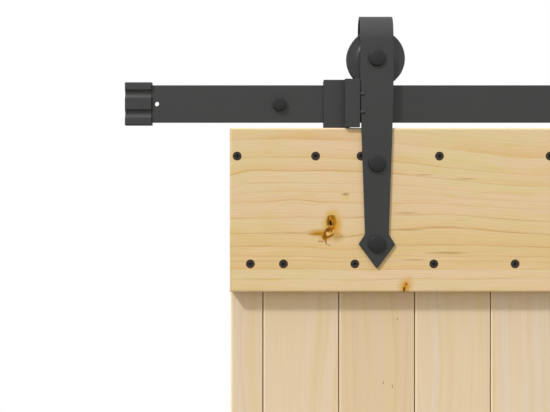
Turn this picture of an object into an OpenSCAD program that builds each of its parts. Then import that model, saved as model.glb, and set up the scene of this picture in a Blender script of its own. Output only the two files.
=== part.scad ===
// Sliding barn door on a flat bar rail: a ledged board door that hangs on two
// arrow shaped strap hangers with grooved rollers, between two end stops.
// Millimetres. X runs along the rail to the right, Y towards the wall, Z up.
// The origin is where the middle lag bolt meets the wall, on the rail's centre line.

/* [Rail] */
// Length of the flat bar rail
rail_len = 2000; // [1900:10:2600]
// Height of the rail
rail_h = 40; // [36:1:46]
// Thickness of the rail
rail_t = 6; // [5:0.5:8]
// Distance from the wall to the rail's back face
spacer_len = 32; // [31:1:45]
// Outer diameter of the wall spacers
spacer_d = 22; // [16:1:26]
// Distance from the rail's end to the first lag bolt
bolt_inset = 162; // [100:1:200]
// Diameter of the small hole near each rail end
end_hole_d = 5; // [4:0.5:6]
// Distance from the rail's end to the small hole
end_hole_inset = 31; // [30:1:45]

/* [Lag bolts] */
// Shank diameter of the lag bolts
lag_d = 8; // [6:0.5:10]
// Core diameter of the thread that bites into the wall
lag_core_d = 7.4; // [5:0.1:8]
// Length of the thread beyond the wall face
lag_grip = 55; // [40:1:80]
// Width across the flats of the hexagon head
lag_head_af = 13; // [10:0.5:15]
// Height of the hexagon head
lag_head_h = 5.5; // [4:0.5:6.5]
// Share of the width across flats that is left as a round face on a hexagon's end
hex_face = 0.95; // [0.85:0.01:1]
// Length of the cone at the thread's end
lag_tip = 8; // [5:0.5:12]
// Diameter of the blunt point
lag_point = 0.8; // [0.4:0.1:2]

/* [End caps] */
// Length of an end cap along the rail
cap_len = 28; // [22:1:29]
// Wall of an end cap over the faces and edges of the rail
cap_wall = 3; // [2.6:0.1:4]
// Thickness of the closed end
cap_end = 2.5; // [2:0.1:5]
// Width of each of the two grooves
cap_groove_w = 9.5; // [6:0.5:10]
// Depth of the grooves
cap_groove_deep = 2.1; // [1:0.1:2.2]
// Distance of the grooves from the rail's centre line
cap_groove_z = 10.6; // [8:0.1:12]
// Radius of the cap's rounded long edges
cap_round = 1.2; // [0.5:0.1:2]

/* [Door] */
// Height of the door
door_h = 2100; // [1700:10:2600]
// Cover width of a full plank
plank_cover = 82; // [70:0.5:110]
// Width of the two ripped edge planks
edge_plank_w = 35; // [30:0.5:60]
// Thickness of the planks
plank_t = 20; // [16:0.5:20]
// Width of the open seam between planks
seam_w = 1.2; // [0.4:0.1:1.5]
// Chamfer along the front edges of the planks
plank_chamfer = 0.6; // [0.3:0.1:2]
// Length of the tongue
tongue_len = 7; // [5:0.5:9]
// Thickness of the tongue
tongue_t = 6; // [4:0.5:7]
// Height of the three ledgers
ledger_h = 174; // [160:1:200]
// Thickness of the ledgers
ledger_t = 20; // [18:0.5:24]
// Radius of the eased front edges of the ledgers
ledger_ease = 2.5; // [1:0.5:4]
// Distance from the rail's end to the door's side edge at the left end of its travel
door_start = 109.5; // [100:0.5:160]
// Gap between the rail's lower edge and the door
door_gap = 6; // [6:0.5:8]

/* [Wood screws] */
// Diameter of the countersunk heads
screw_head_d = 9.5; // [8:0.5:11]
// Diameter of the screw body
screw_d = 4.4; // [3.5:0.1:5]
// Length of the wood screws
screw_len = 35; // [30:1:37]
// Distance of a screw row from the ledger's edge
screw_row = 30; // [20:1:50]
// Depth of the heads below the ledger's face
screw_recess = 0.3; // [0.1:0.1:1]
// Length of the screw's point
screw_point = 6; // [4:0.5:10]
// Width of an arm of the cross recess
cross_w = 1.8; // [0.8:0.1:2.2]
// Span of the cross recess
cross_span = 6; // [4:0.1:6.8]
// Depth of the cross recess
cross_deep = 2.4; // [1:0.1:3]

/* [Hangers] */
// Distance of a hanger from the door's side edge
hanger_inset = 155.5; // [120:0.5:250]
// Width of the strap at the roller
strap_w = 35; // [32:0.5:40]
// Thickness of the strap
strap_t = 3; // [2.5:0.5:6]
// Clear width inside the bend
strap_gap = 26; // [24:0.1:32]
// Length of the strap from the rail's centre line down to the arrow tip
strap_drop = 175; // [170:1:186]
// Width of the strap at the neck of the arrow
neck_w = 25; // [22:0.5:28]
// Width across the arrow's shoulders
arrow_w = 38.5; // [34:0.5:46]
// Length of the arrowhead from shoulder to tip
arrow_len = 26; // [20:0.5:35]
// Height above the rail's centre line where the strap starts to taper
taper_z = 7; // [0:0.5:15]
// Length of the flare between the neck and the arrow's shoulders
neck_len = 10.5; // [6:0.5:14]
// Radius of the strap's outline corners
corner_r = 1.6; // [0.5:0.1:3]
// Height of the bend's top above the axle
bend_rise = 45.5; // [44:0.5:54]
// Height of the arch in which the strap turns over
arch_h = 27; // [24:0.5:30]
// Outer radius of the arch's two flanks
arch_flank_r = 50; // [45:1:80]
// Depth of the upper strap bolt below the rail's centre line
strap_bolt_upper = 63.5; // [60:0.5:80]
// Depth of the lower strap bolt below the rail's centre line
strap_bolt_lower = 148.5; // [145:0.5:155]
// Diameter of the strap bolts
strap_bolt_d = 8; // [6:0.5:9]
// Diameter of the domed bolt heads
dome_d = 18; // [15:0.5:20]
// Height of the domed bolt heads
dome_h = 4; // [3:0.5:6]
// Rise of the dome above the head's rim
dome_rise = 0.8; // [0.4:0.1:2.2]
// Radius of the rounded rim of the domed bolt heads
dome_round = 1.2; // [0.4:0.1:1.5]
// Outer diameter of the sleeve nuts
sleeve_d = 10; // [9.5:0.5:14]
// Length of the sleeve nuts inside the door
sleeve_len = 22; // [12:1:30]
// Diameter of the sleeve nuts' flange
sleeve_flange_d = 18; // [14:0.5:24]
// Thickness of the sleeve nuts' flange
sleeve_flange_t = 2; // [1.5:0.1:3]
// Hexagon socket of the sleeve nuts
sleeve_hex = 4.8; // [3:0.1:6]

/* [Rollers] */
// Radius of the tread that rolls on the rail
tread_r = 27.75; // [26:0.05:30]
// Depth of the roller's groove
groove_deep = 3; // [2:0.1:6]
// Width of the roller over its hub
wheel_w = 20; // [18:0.5:21]
// Width of the roller over its flanges
flange_w = 16; // [14:0.5:17]
// Diameter of the axle bolt
axle_d = 10; // [8:0.5:12]
// Width across the flats of the axle nut
nut_af = 16; // [14:0.5:20]
// Height of the axle nut
nut_h = 6; // [5:0.5:8]
// Chamfer at the axle bolt's end
axle_end = 1.5; // [0.5:0.1:2]
// Wall of the bushes on the axle
bush_wall = 2; // [1.5:0.1:2.2]
// Wall of the hub around the bearing
hub_wall = 3.5; // [2.5:0.1:6]
// Radial run of the cone between hub and flange
cone_run = 4; // [2:0.5:6]
// Chamfer of the flange's outer edges
flange_edge = 1; // [0.3:0.1:1.5]
// Play of the rail in the roller's groove, both sides together
groove_play = 1.5; // [0.5:0.1:3]
// Flare of the groove from its root to the flange's rim
groove_flare = 2; // [0:0.1:3]
// Outer diameter of the ball bearing
bearing_od = 26; // [24:0.1:32]
// Width of the ball bearing
bearing_w = 8; // [7:0.5:9]
// Diameter of the bearing balls
ball_d = 4.8; // [4:0.1:5]
// Thickness of the bearing's shields
shield_t = 0.5; // [0.3:0.1:0.8]
// Radial step behind the bearing that stops it in the hub
seat_step = 2.5; // [1.5:0.1:4]

/* [End stops] */
// Length of the saddle that grips the rail
saddle_len = 28; // [26:0.1:34]
// Wall of the saddle in front of the rail
saddle_wall = 3.35; // [3:0.05:5]
// Height of the stop above and below the rail's edges
stop_over = 5.5; // [4:0.1:5.9]
// Length along the rail of the block that meets the hanger
block_len = 15.8; // [14:0.1:20]
// Length over which the block is joined to the saddle
block_root = 6.3; // [5:0.1:7]
// Reach of the block in front of the strap's face
block_reach = 2; // [1:0.1:5]
// Gap between the block's back and the roller
block_gap = 1; // [0.5:0.1:1.5]
// Gap between the block and the strap with the door at its left end
rest_gap = 0.5; // [0.4:0.1:2]
// Thickness of the saddle's lips behind the rail
saddle_lip = 5.85; // [4:0.05:8]
// Overlap of the lips on the rail's back face
lip_reach = 6; // [5.6:0.1:10]
// Diameter of the grub screws
grub_d = 5; // [4:0.5:5.5]
// Length of the grub screws
grub_len = 5; // [4:0.5:8]
// Hexagon socket of the grub screws
grub_hex = 2.5; // [1.5:0.1:3]
// Distance of the bumpers from the rail's centre line
bumper_z = 9.6; // [6:0.1:14]
// Diameter of the rubber bumpers on the strap's edge
bumper_d = 5.2; // [4.5:0.1:7]
// Length of a bumper's grip on the strap
bumper_grip = 4.3; // [3:0.1:8]

/* [Hidden] */
$fn = 64;
through = 1;

// Clearances of the fits
slip = 0.15;
bolt_slip = 0.25;
run_gap = 0.25;
screw_slip = 0.1;
ball_slip = 0.12;
ring_slip = 0.02;
bore_slip = 0.05;
touch_gap = 0.1;

// Colours
black_steel = [0.27, 0.27, 0.27];
black_nylon = [0.22, 0.22, 0.22];
black_rubber = [0.24, 0.24, 0.24];
bright_steel = [0.7, 0.7, 0.72];
pine_board = [0.87, 0.77, 0.62];
pine_plank = [0.87, 0.79, 0.65];

// Depths from the wall, negative in front of it
rail_back = -spacer_len;
rail_front = rail_back - rail_t;
rail_mid = rail_back - rail_t / 2;
strap_inner = rail_mid - strap_gap / 2;
strap_front = strap_inner - strap_t;
leg_inner = rail_mid + strap_gap / 2;
leg_outer = leg_inner + strap_t;
ledger_front = strap_inner;
plank_front = ledger_front + ledger_t;
plank_back = plank_front + plank_t;

// Rail positions
rail_half = rail_len / 2;
lag_count = 5;
lag_pitch = (rail_len - 2 * bolt_inset) / (lag_count - 1);
lag_x = [for (i = [0 : lag_count - 1]) -rail_half + bolt_inset + i * lag_pitch];
hex_slope = 30;

// Door positions at the left end of the travel
plank_count = 12;
door_w = 2 * edge_plank_w + (plank_count - 2) * plank_cover;
door_left = -rail_half + door_start;
door_mid = door_left + door_w / 2;
door_top = -rail_h / 2 - door_gap;
door_bottom = door_top - door_h;
hanger_x = [door_left + hanger_inset, door_left + door_w - hanger_inset];

// Left seam of each plank, and the right edge of the last
function seam_x(i) = i == 0 ? door_left
    : i == plank_count ? door_left + door_w
    : door_left + edge_plank_w + (i - 1) * plank_cover;

// Ledger tops, from the top of the door down
ledger_tops = [door_top, (door_top + door_bottom + ledger_h) / 2, door_bottom + ledger_h];

// Screw places, measured from each plank's outer seam and set out by eye from
// the door's side to its middle; the other half is the mirror image
upper_offsets = [8, 56, 22, 23, 58, 24];
lower_offsets = [22, 22, 15.5, 17, 21, 60];
half_count = plank_count / 2;
function mirrored(x) = 2 * door_mid - x;
function screw_xs(offsets) = [for (i = [0 : plank_count - 1])
    i < half_count
        ? seam_x(i) + offsets[i]
        : mirrored(seam_x(plank_count - 1 - i) + offsets[plank_count - 1 - i])];
screw_head_cone = (screw_head_d - screw_d) / 2;

// Hanger outline
axle_z = rail_h / 2 + tread_r + run_gap;
bend_z = axle_z + bend_rise - arch_h;
arrow_z = -strap_drop + arrow_len;
neck_z = arrow_z + neck_len;
corner_steps = 5;
dome_r = (dome_d * dome_d / 4 + dome_rise * dome_rise) / (2 * dome_rise);

// Arch of the bend: two flanks that start square on the legs, and a crown that meets both
flank_y = arch_flank_r - strap_gap / 2 - strap_t;
crown_z = (flank_y * flank_y - pow(arch_flank_r - arch_h, 2)) / (2 * (arch_flank_r - arch_h));
crown_r = arch_h - crown_z;

// Roller
flange_r = tread_r + groove_deep;
groove_root_w = rail_t + groove_play;
groove_top_w = groove_root_w + groove_flare;
bearing_seat = bearing_od / 2;
hub_r = bearing_seat + hub_wall;
bush_od = axle_d + 2 * bush_wall;
ball_count = 7;
ball_ring_r = (bearing_seat + axle_d / 2) / 2;
race_r = ball_d / 2 + ball_slip;
race_edge = 0.375 * ball_d;
bush_front_end = rail_mid - bearing_w / 2;
bush_back_start = rail_mid + bearing_w / 2;

// Half width of the strap's outline at a height between its bend and its neck
function strap_half(z) = z > taper_z ? strap_w / 2
    : strap_w / 2 - (taper_z - z) / (taper_z - neck_z) * (strap_w - neck_w) / 2;

// End stops
stop_half = rail_h / 2 + stop_over;
block_back = rail_mid - wheel_w / 2 - block_gap;
block_front = strap_front - block_reach;
block_face = hanger_x[0] - strap_w / 2 - rest_gap;
block_left = block_face - block_len;
saddle_left = block_left + block_root - saddle_len;
grub_z = (rail_h - lip_reach) / 2;

// A cylinder along Y from one depth to another
module rod(r, y0, y1, steps = 64) {
    translate([0, y0, 0])
        rotate([-90, 0, 0])
            cylinder(r = r, h = y1 - y0, $fn = steps);
}

// A turned shape about the Y axis; the profile's points are radius, depth
module turned(points) {
    rotate([-90, 0, 0])
        rotate_extrude($fn = 96)
            polygon(points);
}

// A hexagon bar along Y with its points up and down
module hex_bar(af, y0, y1) {
    translate([0, y0, 0])
        rotate([-90, 0, 0])
            rotate([0, 0, 30])
                cylinder(d = af / cos(30), h = y1 - y0, $fn = 6);
}

// A hexagon bar along Y whose corners are turned off at its first end
module hex_head(af, y0, y1) {
    face_r = hex_face * af / 2;
    wide = af / 2 / cos(30) + through;
    intersection() {
        hex_bar(af, y0, y1);
        turned([[0, y0], [face_r, y0], [wide, y0 + (wide - face_r) * tan(hex_slope)], [wide, y1], [0, y1]]);
    }
}

// A low domed bolt head with a round rim, that seats at depth y0 and stands out to the front
module dome_head(y0) {
    front = y0 - dome_h;
    rim = dome_d / 2 - dome_round;
    rotate([-90, 0, 0])
        rotate_extrude($fn = 96)
            intersection() {
                translate([0, front + dome_r])
                    circle(dome_r, $fn = 96);
                union() {
                    translate([0, front])
                        square([rim, dome_h]);
                    translate([0, front + dome_round])
                        square([dome_d / 2, dome_h - dome_round]);
                    translate([rim, front + dome_round])
                        circle(dome_round);
                }
            }
}

// Points of an outline with its corners rounded by short arcs
function unit(v) = v / norm(v);
function turn_angle(a, b) = acos(max(-1, min(1, a * b)));
function round_corner(p, q, r, radius) =
    let (
        u = unit(p - q),
        v = unit(r - q),
        half = turn_angle(u, v) / 2,
        set_back = radius / tan(half),
        centre = q + unit(u + v) * radius / sin(half),
        a = q + u * set_back - centre,
        b = q + v * set_back - centre
    )
    [for (k = [0 : corner_steps]) centre + radius * unit(a * (1 - k / corner_steps) + b * k / corner_steps)];
function rounded(points, radius) =
    let (n = len(points))
    [for (i = [0 : n - 1],
        c = round_corner(points[(i + n - 1) % n], points[i], points[(i + 1) % n], radius)) c];

// Rail and what holds it to the wall

module rail() {
    color(black_steel)
        difference() {
            translate([-rail_half, rail_front, -rail_h / 2])
                cube([rail_len, rail_t, rail_h]);
            for (x = lag_x)
                translate([x, 0, 0])
                    rod(lag_d / 2 + bolt_slip, rail_front - through, rail_back + through);
            for (side = [-1, 1])
                translate([side * (rail_half - end_hole_inset), 0, 0])
                    rod(end_hole_d / 2, rail_front - through, rail_back + through);
        }
}

module spacer(i) {
    color(black_steel)
        translate([lag_x[i - 1], 0, 0])
            difference() {
                rod(spacer_d / 2, rail_back, 0);
                rod(lag_d / 2 + bolt_slip, rail_back - through, through);
            }
}

module lag_bolts() {
    color(black_steel)
        for (x = lag_x)
            translate([x, 0, 0])
                union() {
                    hex_head(lag_head_af, rail_front - lag_head_h, rail_front);
                    rod(lag_d / 2, rail_front - lag_head_h / 2, 0);
                    turned([[0, -lag_d], [lag_core_d / 2, -lag_d], [lag_core_d / 2, lag_grip - lag_tip],
                        [lag_point / 2, lag_grip], [0, lag_grip]]);
                }
}

// A push-on cap with two round grooves across each face; the left one
module end_cap() {
    groove_r = (cap_groove_w * cap_groove_w / 4 + cap_groove_deep * cap_groove_deep) / (2 * cap_groove_deep);
    groove_y = rail_t / 2 + cap_wall - cap_groove_deep + groove_r;
    color(black_rubber)
        translate([-rail_half - cap_end, rail_mid, 0])
            difference() {
                rotate([90, 0, 90])
                    linear_extrude(cap_len)
                        cap_section(rail_t / 2 + cap_wall, rail_h / 2 + cap_wall);
                translate([cap_end, -rail_t / 2 - slip, -rail_h / 2 - slip])
                    cube([cap_len, rail_t + 2 * slip, rail_h + 2 * slip]);
                for (face = [-1, 1], z = [-cap_groove_z, cap_groove_z])
                    translate([-through, face * groove_y, z])
                        rotate([0, 90, 0])
                            cylinder(r = groove_r, h = cap_len + 2 * through);
            }
}

// Section across the cap: a rectangle with four round corners
module cap_section(half_t, half_h) {
    square([2 * half_t, 2 * (half_h - cap_round)], center = true);
    square([2 * (half_t - cap_round), 2 * half_h], center = true);
    for (side = [-1, 1], end = [-1, 1])
        translate([side * (half_t - cap_round), end * (half_h - cap_round)])
            circle(cap_round);
}

module end_cap_left() { end_cap(); }

module end_cap_right() { mirror([1, 0, 0]) end_cap(); }

// End stops, drawn at the left; the right one is the mirror image

// Cast in one piece: a C shaped saddle slid on to the rail, and a block in front
// of it that stands in the hanger's way
module stop() {
    saddle_front = rail_front - slip - saddle_wall;
    lip_front = rail_back + slip;
    lip_back = lip_front + saddle_lip;
    color(black_steel)
        difference() {
            union() {
                translate([saddle_left, saddle_front, -stop_half])
                    cube([saddle_len, lip_back - saddle_front, 2 * stop_half]);
                translate([block_left, block_front, -stop_half])
                    cube([block_len, block_back - block_front, 2 * stop_half]);
                translate([block_left, block_front, -stop_half])
                    cube([block_root, saddle_front + saddle_wall / 2 - block_front, 2 * stop_half]);
            }
            translate([saddle_left - through, rail_front - slip, -rail_h / 2 - slip])
                cube([saddle_len + 2 * through, rail_t + 2 * slip, rail_h + 2 * slip]);
            translate([saddle_left - through, rail_back, -rail_h / 2 + lip_reach])
                cube([saddle_len + 2 * through, spacer_len, rail_h - 2 * lip_reach]);
            for (z = [-grub_z, grub_z])
                translate([saddle_left + saddle_len / 2, 0, z])
                    rod(grub_d / 2 + bore_slip, rail_back, lip_back + through);
        }
}

// Two socket grub screws that clamp the saddle from behind the rail
module grub_screws() {
    color(black_steel)
        for (z = [-grub_z, grub_z])
            translate([saddle_left + saddle_len / 2, 0, z])
                difference() {
                    rod(grub_d / 2, rail_back, rail_back + grub_len);
                    hex_bar(grub_hex, rail_back + grub_len / 2, rail_back + grub_len + through);
                }
}

module stop_left() { stop(); }
module stop_right() { mirror([1, 0, 0]) stop(); }
module grub_screws_left() { grub_screws(); }
module grub_screws_right() { mirror([1, 0, 0]) grub_screws(); }

// Door leaf

// Section of a plank in plan: tongue to the right, groove to the left
module plank_section(i) {
    first = i == 0;
    last = i == plank_count - 1;
    x0 = seam_x(i) + (first ? 0 : seam_w / 2);
    x1 = seam_x(i + 1) - (last ? 0 : seam_w / 2);
    tongue_y = plank_front + plank_t / 2 - tongue_t / 2;
    difference() {
        union() {
            polygon([
                [x0 + plank_chamfer, plank_front], [x1 - plank_chamfer, plank_front],
                [x1, plank_front + plank_chamfer], [x1, plank_back],
                [x0, plank_back], [x0, plank_front + plank_chamfer]
            ]);
            if (!last)
                translate([x1 - through, tongue_y])
                    square([tongue_len + through, tongue_t]);
        }
        if (!first)
            translate([x0 - through, tongue_y - slip])
                square([tongue_len + through - seam_w + 2 * slip, tongue_t + 2 * slip]);
    }
}

// Holes through the door for the strap bolts and their sleeve nuts
module strap_bolt_holes() {
    for (x = hanger_x, z = [-strap_bolt_upper, -strap_bolt_lower])
        translate([x, 0, z]) {
            rod(strap_bolt_d / 2 + bolt_slip, ledger_front - through, plank_back - sleeve_len + slip);
            rod(sleeve_d / 2 + slip, plank_back - sleeve_len - slip, plank_back + through);
        }
}

// The two screws of one plank in one ledger, grown by a clearance
module screw_pair(i, top, grow) {
    rows = [[screw_xs(upper_offsets)[i], top - screw_row],
        [screw_xs(lower_offsets)[i], top - ledger_h + screw_row]];
    for (place = rows)
        translate([place[0], ledger_front, place[1]])
            turned(screw_outline(grow));
}

// Half section of a countersunk screw with its head near the ledger's face
function screw_outline(grow) = [
    [0, grow > 0 ? -through : screw_recess],
    [screw_head_d / 2 + grow, grow > 0 ? -through : screw_recess],
    [screw_head_d / 2 + grow, screw_recess],
    [screw_d / 2 + grow, screw_recess + screw_head_cone],
    [screw_d / 2 + grow, screw_len - screw_point],
    [grow, screw_len + grow],
    [0, screw_len + grow]
];

module plank(number) {
    i = number - 1;
    color(pine_plank)
        difference() {
            translate([0, 0, door_bottom])
                linear_extrude(door_h)
                    plank_section(i);
            for (top = ledger_tops)
                screw_pair(i, top, screw_slip);
            strap_bolt_holes();
        }
}

// A ledger board with its four front edges eased
module ledger(level) {
    top = ledger_tops[level];
    color(pine_board)
        difference() {
            intersection() {
                translate([door_left, 0, 0])
                    rotate([90, 0, 90])
                        linear_extrude(door_w)
                            eased_section(plank_front, top, top - ledger_h);
                translate([0, 0, top - ledger_h])
                    linear_extrude(ledger_h)
                        rotate([0, 0, 90])
                            eased_section(plank_front, -door_left, -door_left - door_w);
            }
            for (i = [0 : plank_count - 1])
                screw_pair(i, top, screw_slip);
            strap_bolt_holes();
        }
}

// A board's section with two round front corners; the first axis is depth
module eased_section(back, high, low) {
    translate([back - ledger_t + ledger_ease, low])
        square([ledger_t - ledger_ease, high - low]);
    translate([back - ledger_t, low + ledger_ease])
        square([ledger_t, high - low - 2 * ledger_ease]);
    for (v = [low + ledger_ease, high - ledger_ease])
        translate([back - ledger_t + ledger_ease, v])
            circle(ledger_ease);
}

module ledger_top() { ledger(0); }
module ledger_middle() { ledger(1); }
module ledger_bottom() { ledger(2); }

// Countersunk wood screws of one ledger, with a cross recess in each head
module ledger_screws(level) {
    top = ledger_tops[level];
    rows = [[upper_offsets, top - screw_row], [lower_offsets, top - ledger_h + screw_row]];
    color(black_steel)
        for (row = rows, x = screw_xs(row[0]))
            translate([x, ledger_front, row[1]])
                difference() {
                    turned(screw_outline(0));
                    for (arm = [[cross_span, cross_w], [cross_w, cross_span]])
                        translate([-arm[0] / 2, screw_recess - through, -arm[1] / 2])
                            cube([arm[0], cross_deep + through, arm[1]]);
                }
}

module screws_top() { ledger_screws(0); }
module screws_middle() { ledger_screws(1); }
module screws_bottom() { ledger_screws(2); }

// Hangers

// The space under the strap's arch, taken in all round; the first axis is depth
module arch_face(taken_in) {
    wide = strap_gap + 2 * strap_t;
    meet_z = (arch_flank_r - taken_in) * crown_z / (arch_flank_r - crown_r);
    intersection() {
        translate([flank_y, 0])
            circle(arch_flank_r - taken_in, $fn = 192);
        translate([-flank_y, 0])
            circle(arch_flank_r - taken_in, $fn = 192);
        translate([-wide / 2, 0])
            square([wide, meet_z]);
    }
    intersection() {
        translate([0, crown_z])
            circle(crown_r - taken_in, $fn = 96);
        translate([-wide / 2, meet_z])
            square([wide, arch_h]);
    }
}

// Flat strap with an arrow end, bent over the roller to a short back leg
module strap(side) {
    outline = [
        [strap_w / 2, taper_z], [neck_w / 2, neck_z], [arrow_w / 2, arrow_z], [0, -strap_drop],
        [-arrow_w / 2, arrow_z], [-neck_w / 2, neck_z], [-strap_w / 2, taper_z]
    ];
    color(black_steel)
        translate([hanger_x[side], 0, 0])
            difference() {
                union() {
                    translate([0, strap_inner, 0])
                        rotate([90, 0, 0])
                            linear_extrude(strap_t)
                                union() {
                                    polygon(rounded(concat([[strap_w / 2, bend_z], [-strap_w / 2, bend_z]],
                                        [for (k = [len(outline) - 1 : -1 : 0]) outline[k]]), corner_r));
                                    translate([-strap_w / 2, taper_z])
                                        square([strap_w, bend_z - taper_z]);
                                }
                    translate([-strap_w / 2, rail_mid, bend_z])
                        rotate([90, 0, 90])
                            linear_extrude(strap_w)
                                difference() {
                                    arch_face(0);
                                    arch_face(strap_t);
                                }
                    translate([-strap_w / 2, leg_inner, axle_z])
                        cube([strap_w, strap_t, bend_z - axle_z]);
                    translate([0, 0, axle_z])
                        rod(strap_w / 2, leg_inner, leg_outer);
                }
                translate([0, 0, axle_z])
                    rod(axle_d / 2 + bore_slip, strap_front - through, leg_outer + through);
                for (z = [-strap_bolt_upper, -strap_bolt_lower])
                    translate([0, 0, z])
                        rod(strap_bolt_d / 2 + bolt_slip, strap_front - through, strap_inner + through);
            }
}

// Two rubber bumpers, slotted and pushed on to a strap's outer edge, where they meet the
// stop's block; the left strap's pair, about the strap's middle
module bumper_pair() {
    nose = -strap_w / 2 - rest_gap + touch_gap;
    for (z = [-bumper_z, bumper_z])
        translate([0, strap_inner - strap_t / 2, z])
            difference() {
                translate([nose, 0, 0])
                    rotate([0, 90, 0])
                        cylinder(d = bumper_d, h = bumper_grip - strap_half(z) - nose);
                translate([-strap_half(z + bumper_d / 2) - ring_slip, -strap_t / 2 - ring_slip, -bumper_d])
                    cube([bumper_grip + 2 * slip, strap_t + 2 * ring_slip, 2 * bumper_d]);
            }
}

module bumpers_left() {
    color(black_rubber)
        translate([hanger_x[0], 0, 0])
            bumper_pair();
}

module bumpers_right() {
    color(black_rubber)
        translate([hanger_x[1], 0, 0])
            mirror([1, 0, 0])
                bumper_pair();
}

// Two domed bolts through strap and door
module strap_bolts(side) {
    color(black_steel)
        for (z = [-strap_bolt_upper, -strap_bolt_lower])
            translate([hanger_x[side], 0, z])
                union() {
                    dome_head(strap_front);
                    rod(strap_bolt_d / 2, strap_front, plank_back - sleeve_flange_t);
                }
}

// Sleeve nuts let into the back of the door, with a low flange
module sleeve_nuts(side) {
    thread_end = plank_back - sleeve_flange_t;
    color(black_steel)
        for (z = [-strap_bolt_upper, -strap_bolt_lower])
            translate([hanger_x[side], 0, z])
                difference() {
                    union() {
                        rod(sleeve_d / 2, plank_back - sleeve_len, plank_back);
                        rod(sleeve_flange_d / 2, plank_back, plank_back + sleeve_flange_t);
                    }
                    rod(strap_bolt_d / 2 + ring_slip, plank_back - sleeve_len - through, thread_end);
                    hex_bar(sleeve_hex, thread_end, plank_back + 2 * sleeve_flange_t);
                }
}

// Axle bolt through both legs, with a domed head in front and a nut behind
module axle_bolt(side) {
    shank_end = leg_outer + nut_h;
    end = shank_end + axle_end;
    color(black_steel)
        translate([hanger_x[side], 0, axle_z])
            union() {
                dome_head(strap_front);
                rod(axle_d / 2, strap_front, shank_end);
                turned([[0, shank_end], [axle_d / 2, shank_end], [axle_d / 2 - axle_end, end], [0, end]]);
            }
}

module axle_nut(side) {
    color(black_steel)
        translate([hanger_x[side], 0, axle_z])
            difference() {
                translate([0, leg_outer + nut_h, 0])
                    rotate([0, 0, 180])
                        hex_head(nut_af, 0, nut_h);
                rod(axle_d / 2 + ring_slip, leg_outer - through, leg_outer + nut_h + through);
            }
}

// Bushes that hold the bearing's inner ring midway between the legs
module bush(side, y0, y1) {
    color(bright_steel)
        translate([hanger_x[side], 0, axle_z])
            difference() {
                rod(bush_od / 2, y0, y1);
                rod(axle_d / 2 + bore_slip, y0 - through, y1 + through);
            }
}

// Moulded roller: hub, two flanges and a groove that sits on the rail
module wheel(side) {
    hub = wheel_w / 2;
    rim = flange_w / 2;
    root = groove_root_w / 2;
    top = groove_top_w / 2;
    seat = bearing_w / 2;
    color(black_nylon)
        translate([hanger_x[side], rail_mid, axle_z])
            turned([
                [bearing_seat + ring_slip, -hub], [hub_r, -hub], [hub_r + cone_run, -rim],
                [flange_r - flange_edge, -rim], [flange_r, -rim + flange_edge], [flange_r, -top],
                [tread_r, -root], [tread_r, root],
                [flange_r, top], [flange_r, rim - flange_edge], [flange_r - flange_edge, rim],
                [hub_r + cone_run, rim], [hub_r, hub], [bearing_seat - seat_step, hub],
                [bearing_seat - seat_step, seat], [bearing_seat + ring_slip, seat]
            ]);
}

// Ball bearing: rings with a round race, and shields on the outer one
module race_cut() {
    rotate([-90, 0, 0])
        rotate_extrude($fn = 96)
            translate([ball_ring_r, 0])
                circle(race_r);
}

module bearing_outer(side) {
    seat = bearing_w / 2;
    inside = ball_ring_r + race_edge;
    shield_in = ball_ring_r - ball_d / 3;
    color(bright_steel)
        translate([hanger_x[side], rail_mid, axle_z])
            difference() {
                turned([
                    [inside, -seat + shield_t], [shield_in, -seat + shield_t], [shield_in, -seat],
                    [bearing_seat, -seat], [bearing_seat, seat], [shield_in, seat],
                    [shield_in, seat - shield_t], [inside, seat - shield_t]
                ]);
                race_cut();
            }
}

module bearing_inner(side) {
    seat = bearing_w / 2;
    outside = ball_ring_r - race_edge;
    color(bright_steel)
        translate([hanger_x[side], rail_mid, axle_z])
            difference() {
                turned([
                    [axle_d / 2 + bore_slip, -seat], [outside, -seat],
                    [outside, seat], [axle_d / 2 + bore_slip, seat]
                ]);
                race_cut();
            }
}

module bearing_balls(side) {
    color(bright_steel)
        translate([hanger_x[side], rail_mid, axle_z])
            for (k = [0 : ball_count - 1])
                rotate([0, k * 360 / ball_count, 0])
                    translate([ball_ring_r, 0, 0])
                        sphere(d = ball_d);
}

rail();
end_cap_left();
end_cap_right();
lag_bolts();
spacer(1);  // spacer_1
spacer(2);  // spacer_2
spacer(3);  // spacer_3
spacer(4);  // spacer_4
spacer(5);  // spacer_5
stop_left();
stop_right();
grub_screws_left();
grub_screws_right();
plank(1);  // plank_01
plank(2);  // plank_02
plank(3);  // plank_03
plank(4);  // plank_04
plank(5);  // plank_05
plank(6);  // plank_06
plank(7);  // plank_07
plank(8);  // plank_08
plank(9);  // plank_09
plank(10);  // plank_10
plank(11);  // plank_11
plank(12);  // plank_12
ledger_top();
ledger_middle();
ledger_bottom();
screws_top();
screws_middle();
screws_bottom();
strap(0);  // strap_left
strap(1);  // strap_right
bumpers_left();
bumpers_right();
strap_bolts(0);  // strap_bolts_left
strap_bolts(1);  // strap_bolts_right
sleeve_nuts(0);  // sleeve_nuts_left
sleeve_nuts(1);  // sleeve_nuts_right
axle_bolt(0);  // axle_bolt_left
axle_bolt(1);  // axle_bolt_right
axle_nut(0);  // axle_nut_left
axle_nut(1);  // axle_nut_right
bush(0, strap_inner, bush_front_end);  // bush_front_left
bush(1, strap_inner, bush_front_end);  // bush_front_right
bush(0, bush_back_start, leg_inner);  // bush_back_left
bush(1, bush_back_start, leg_inner);  // bush_back_right
wheel(0);  // wheel_left
wheel(1);  // wheel_right
bearing_outer(0);  // bearing_outer_left
bearing_outer(1);  // bearing_outer_right
bearing_inner(0);  // bearing_inner_left
bearing_inner(1);  // bearing_inner_right
bearing_balls(0);  // bearing_balls_left
bearing_balls(1);  // bearing_balls_right
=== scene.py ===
import math
import random
import bmesh
import bpy
from mathutils import Matrix, Vector


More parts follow.
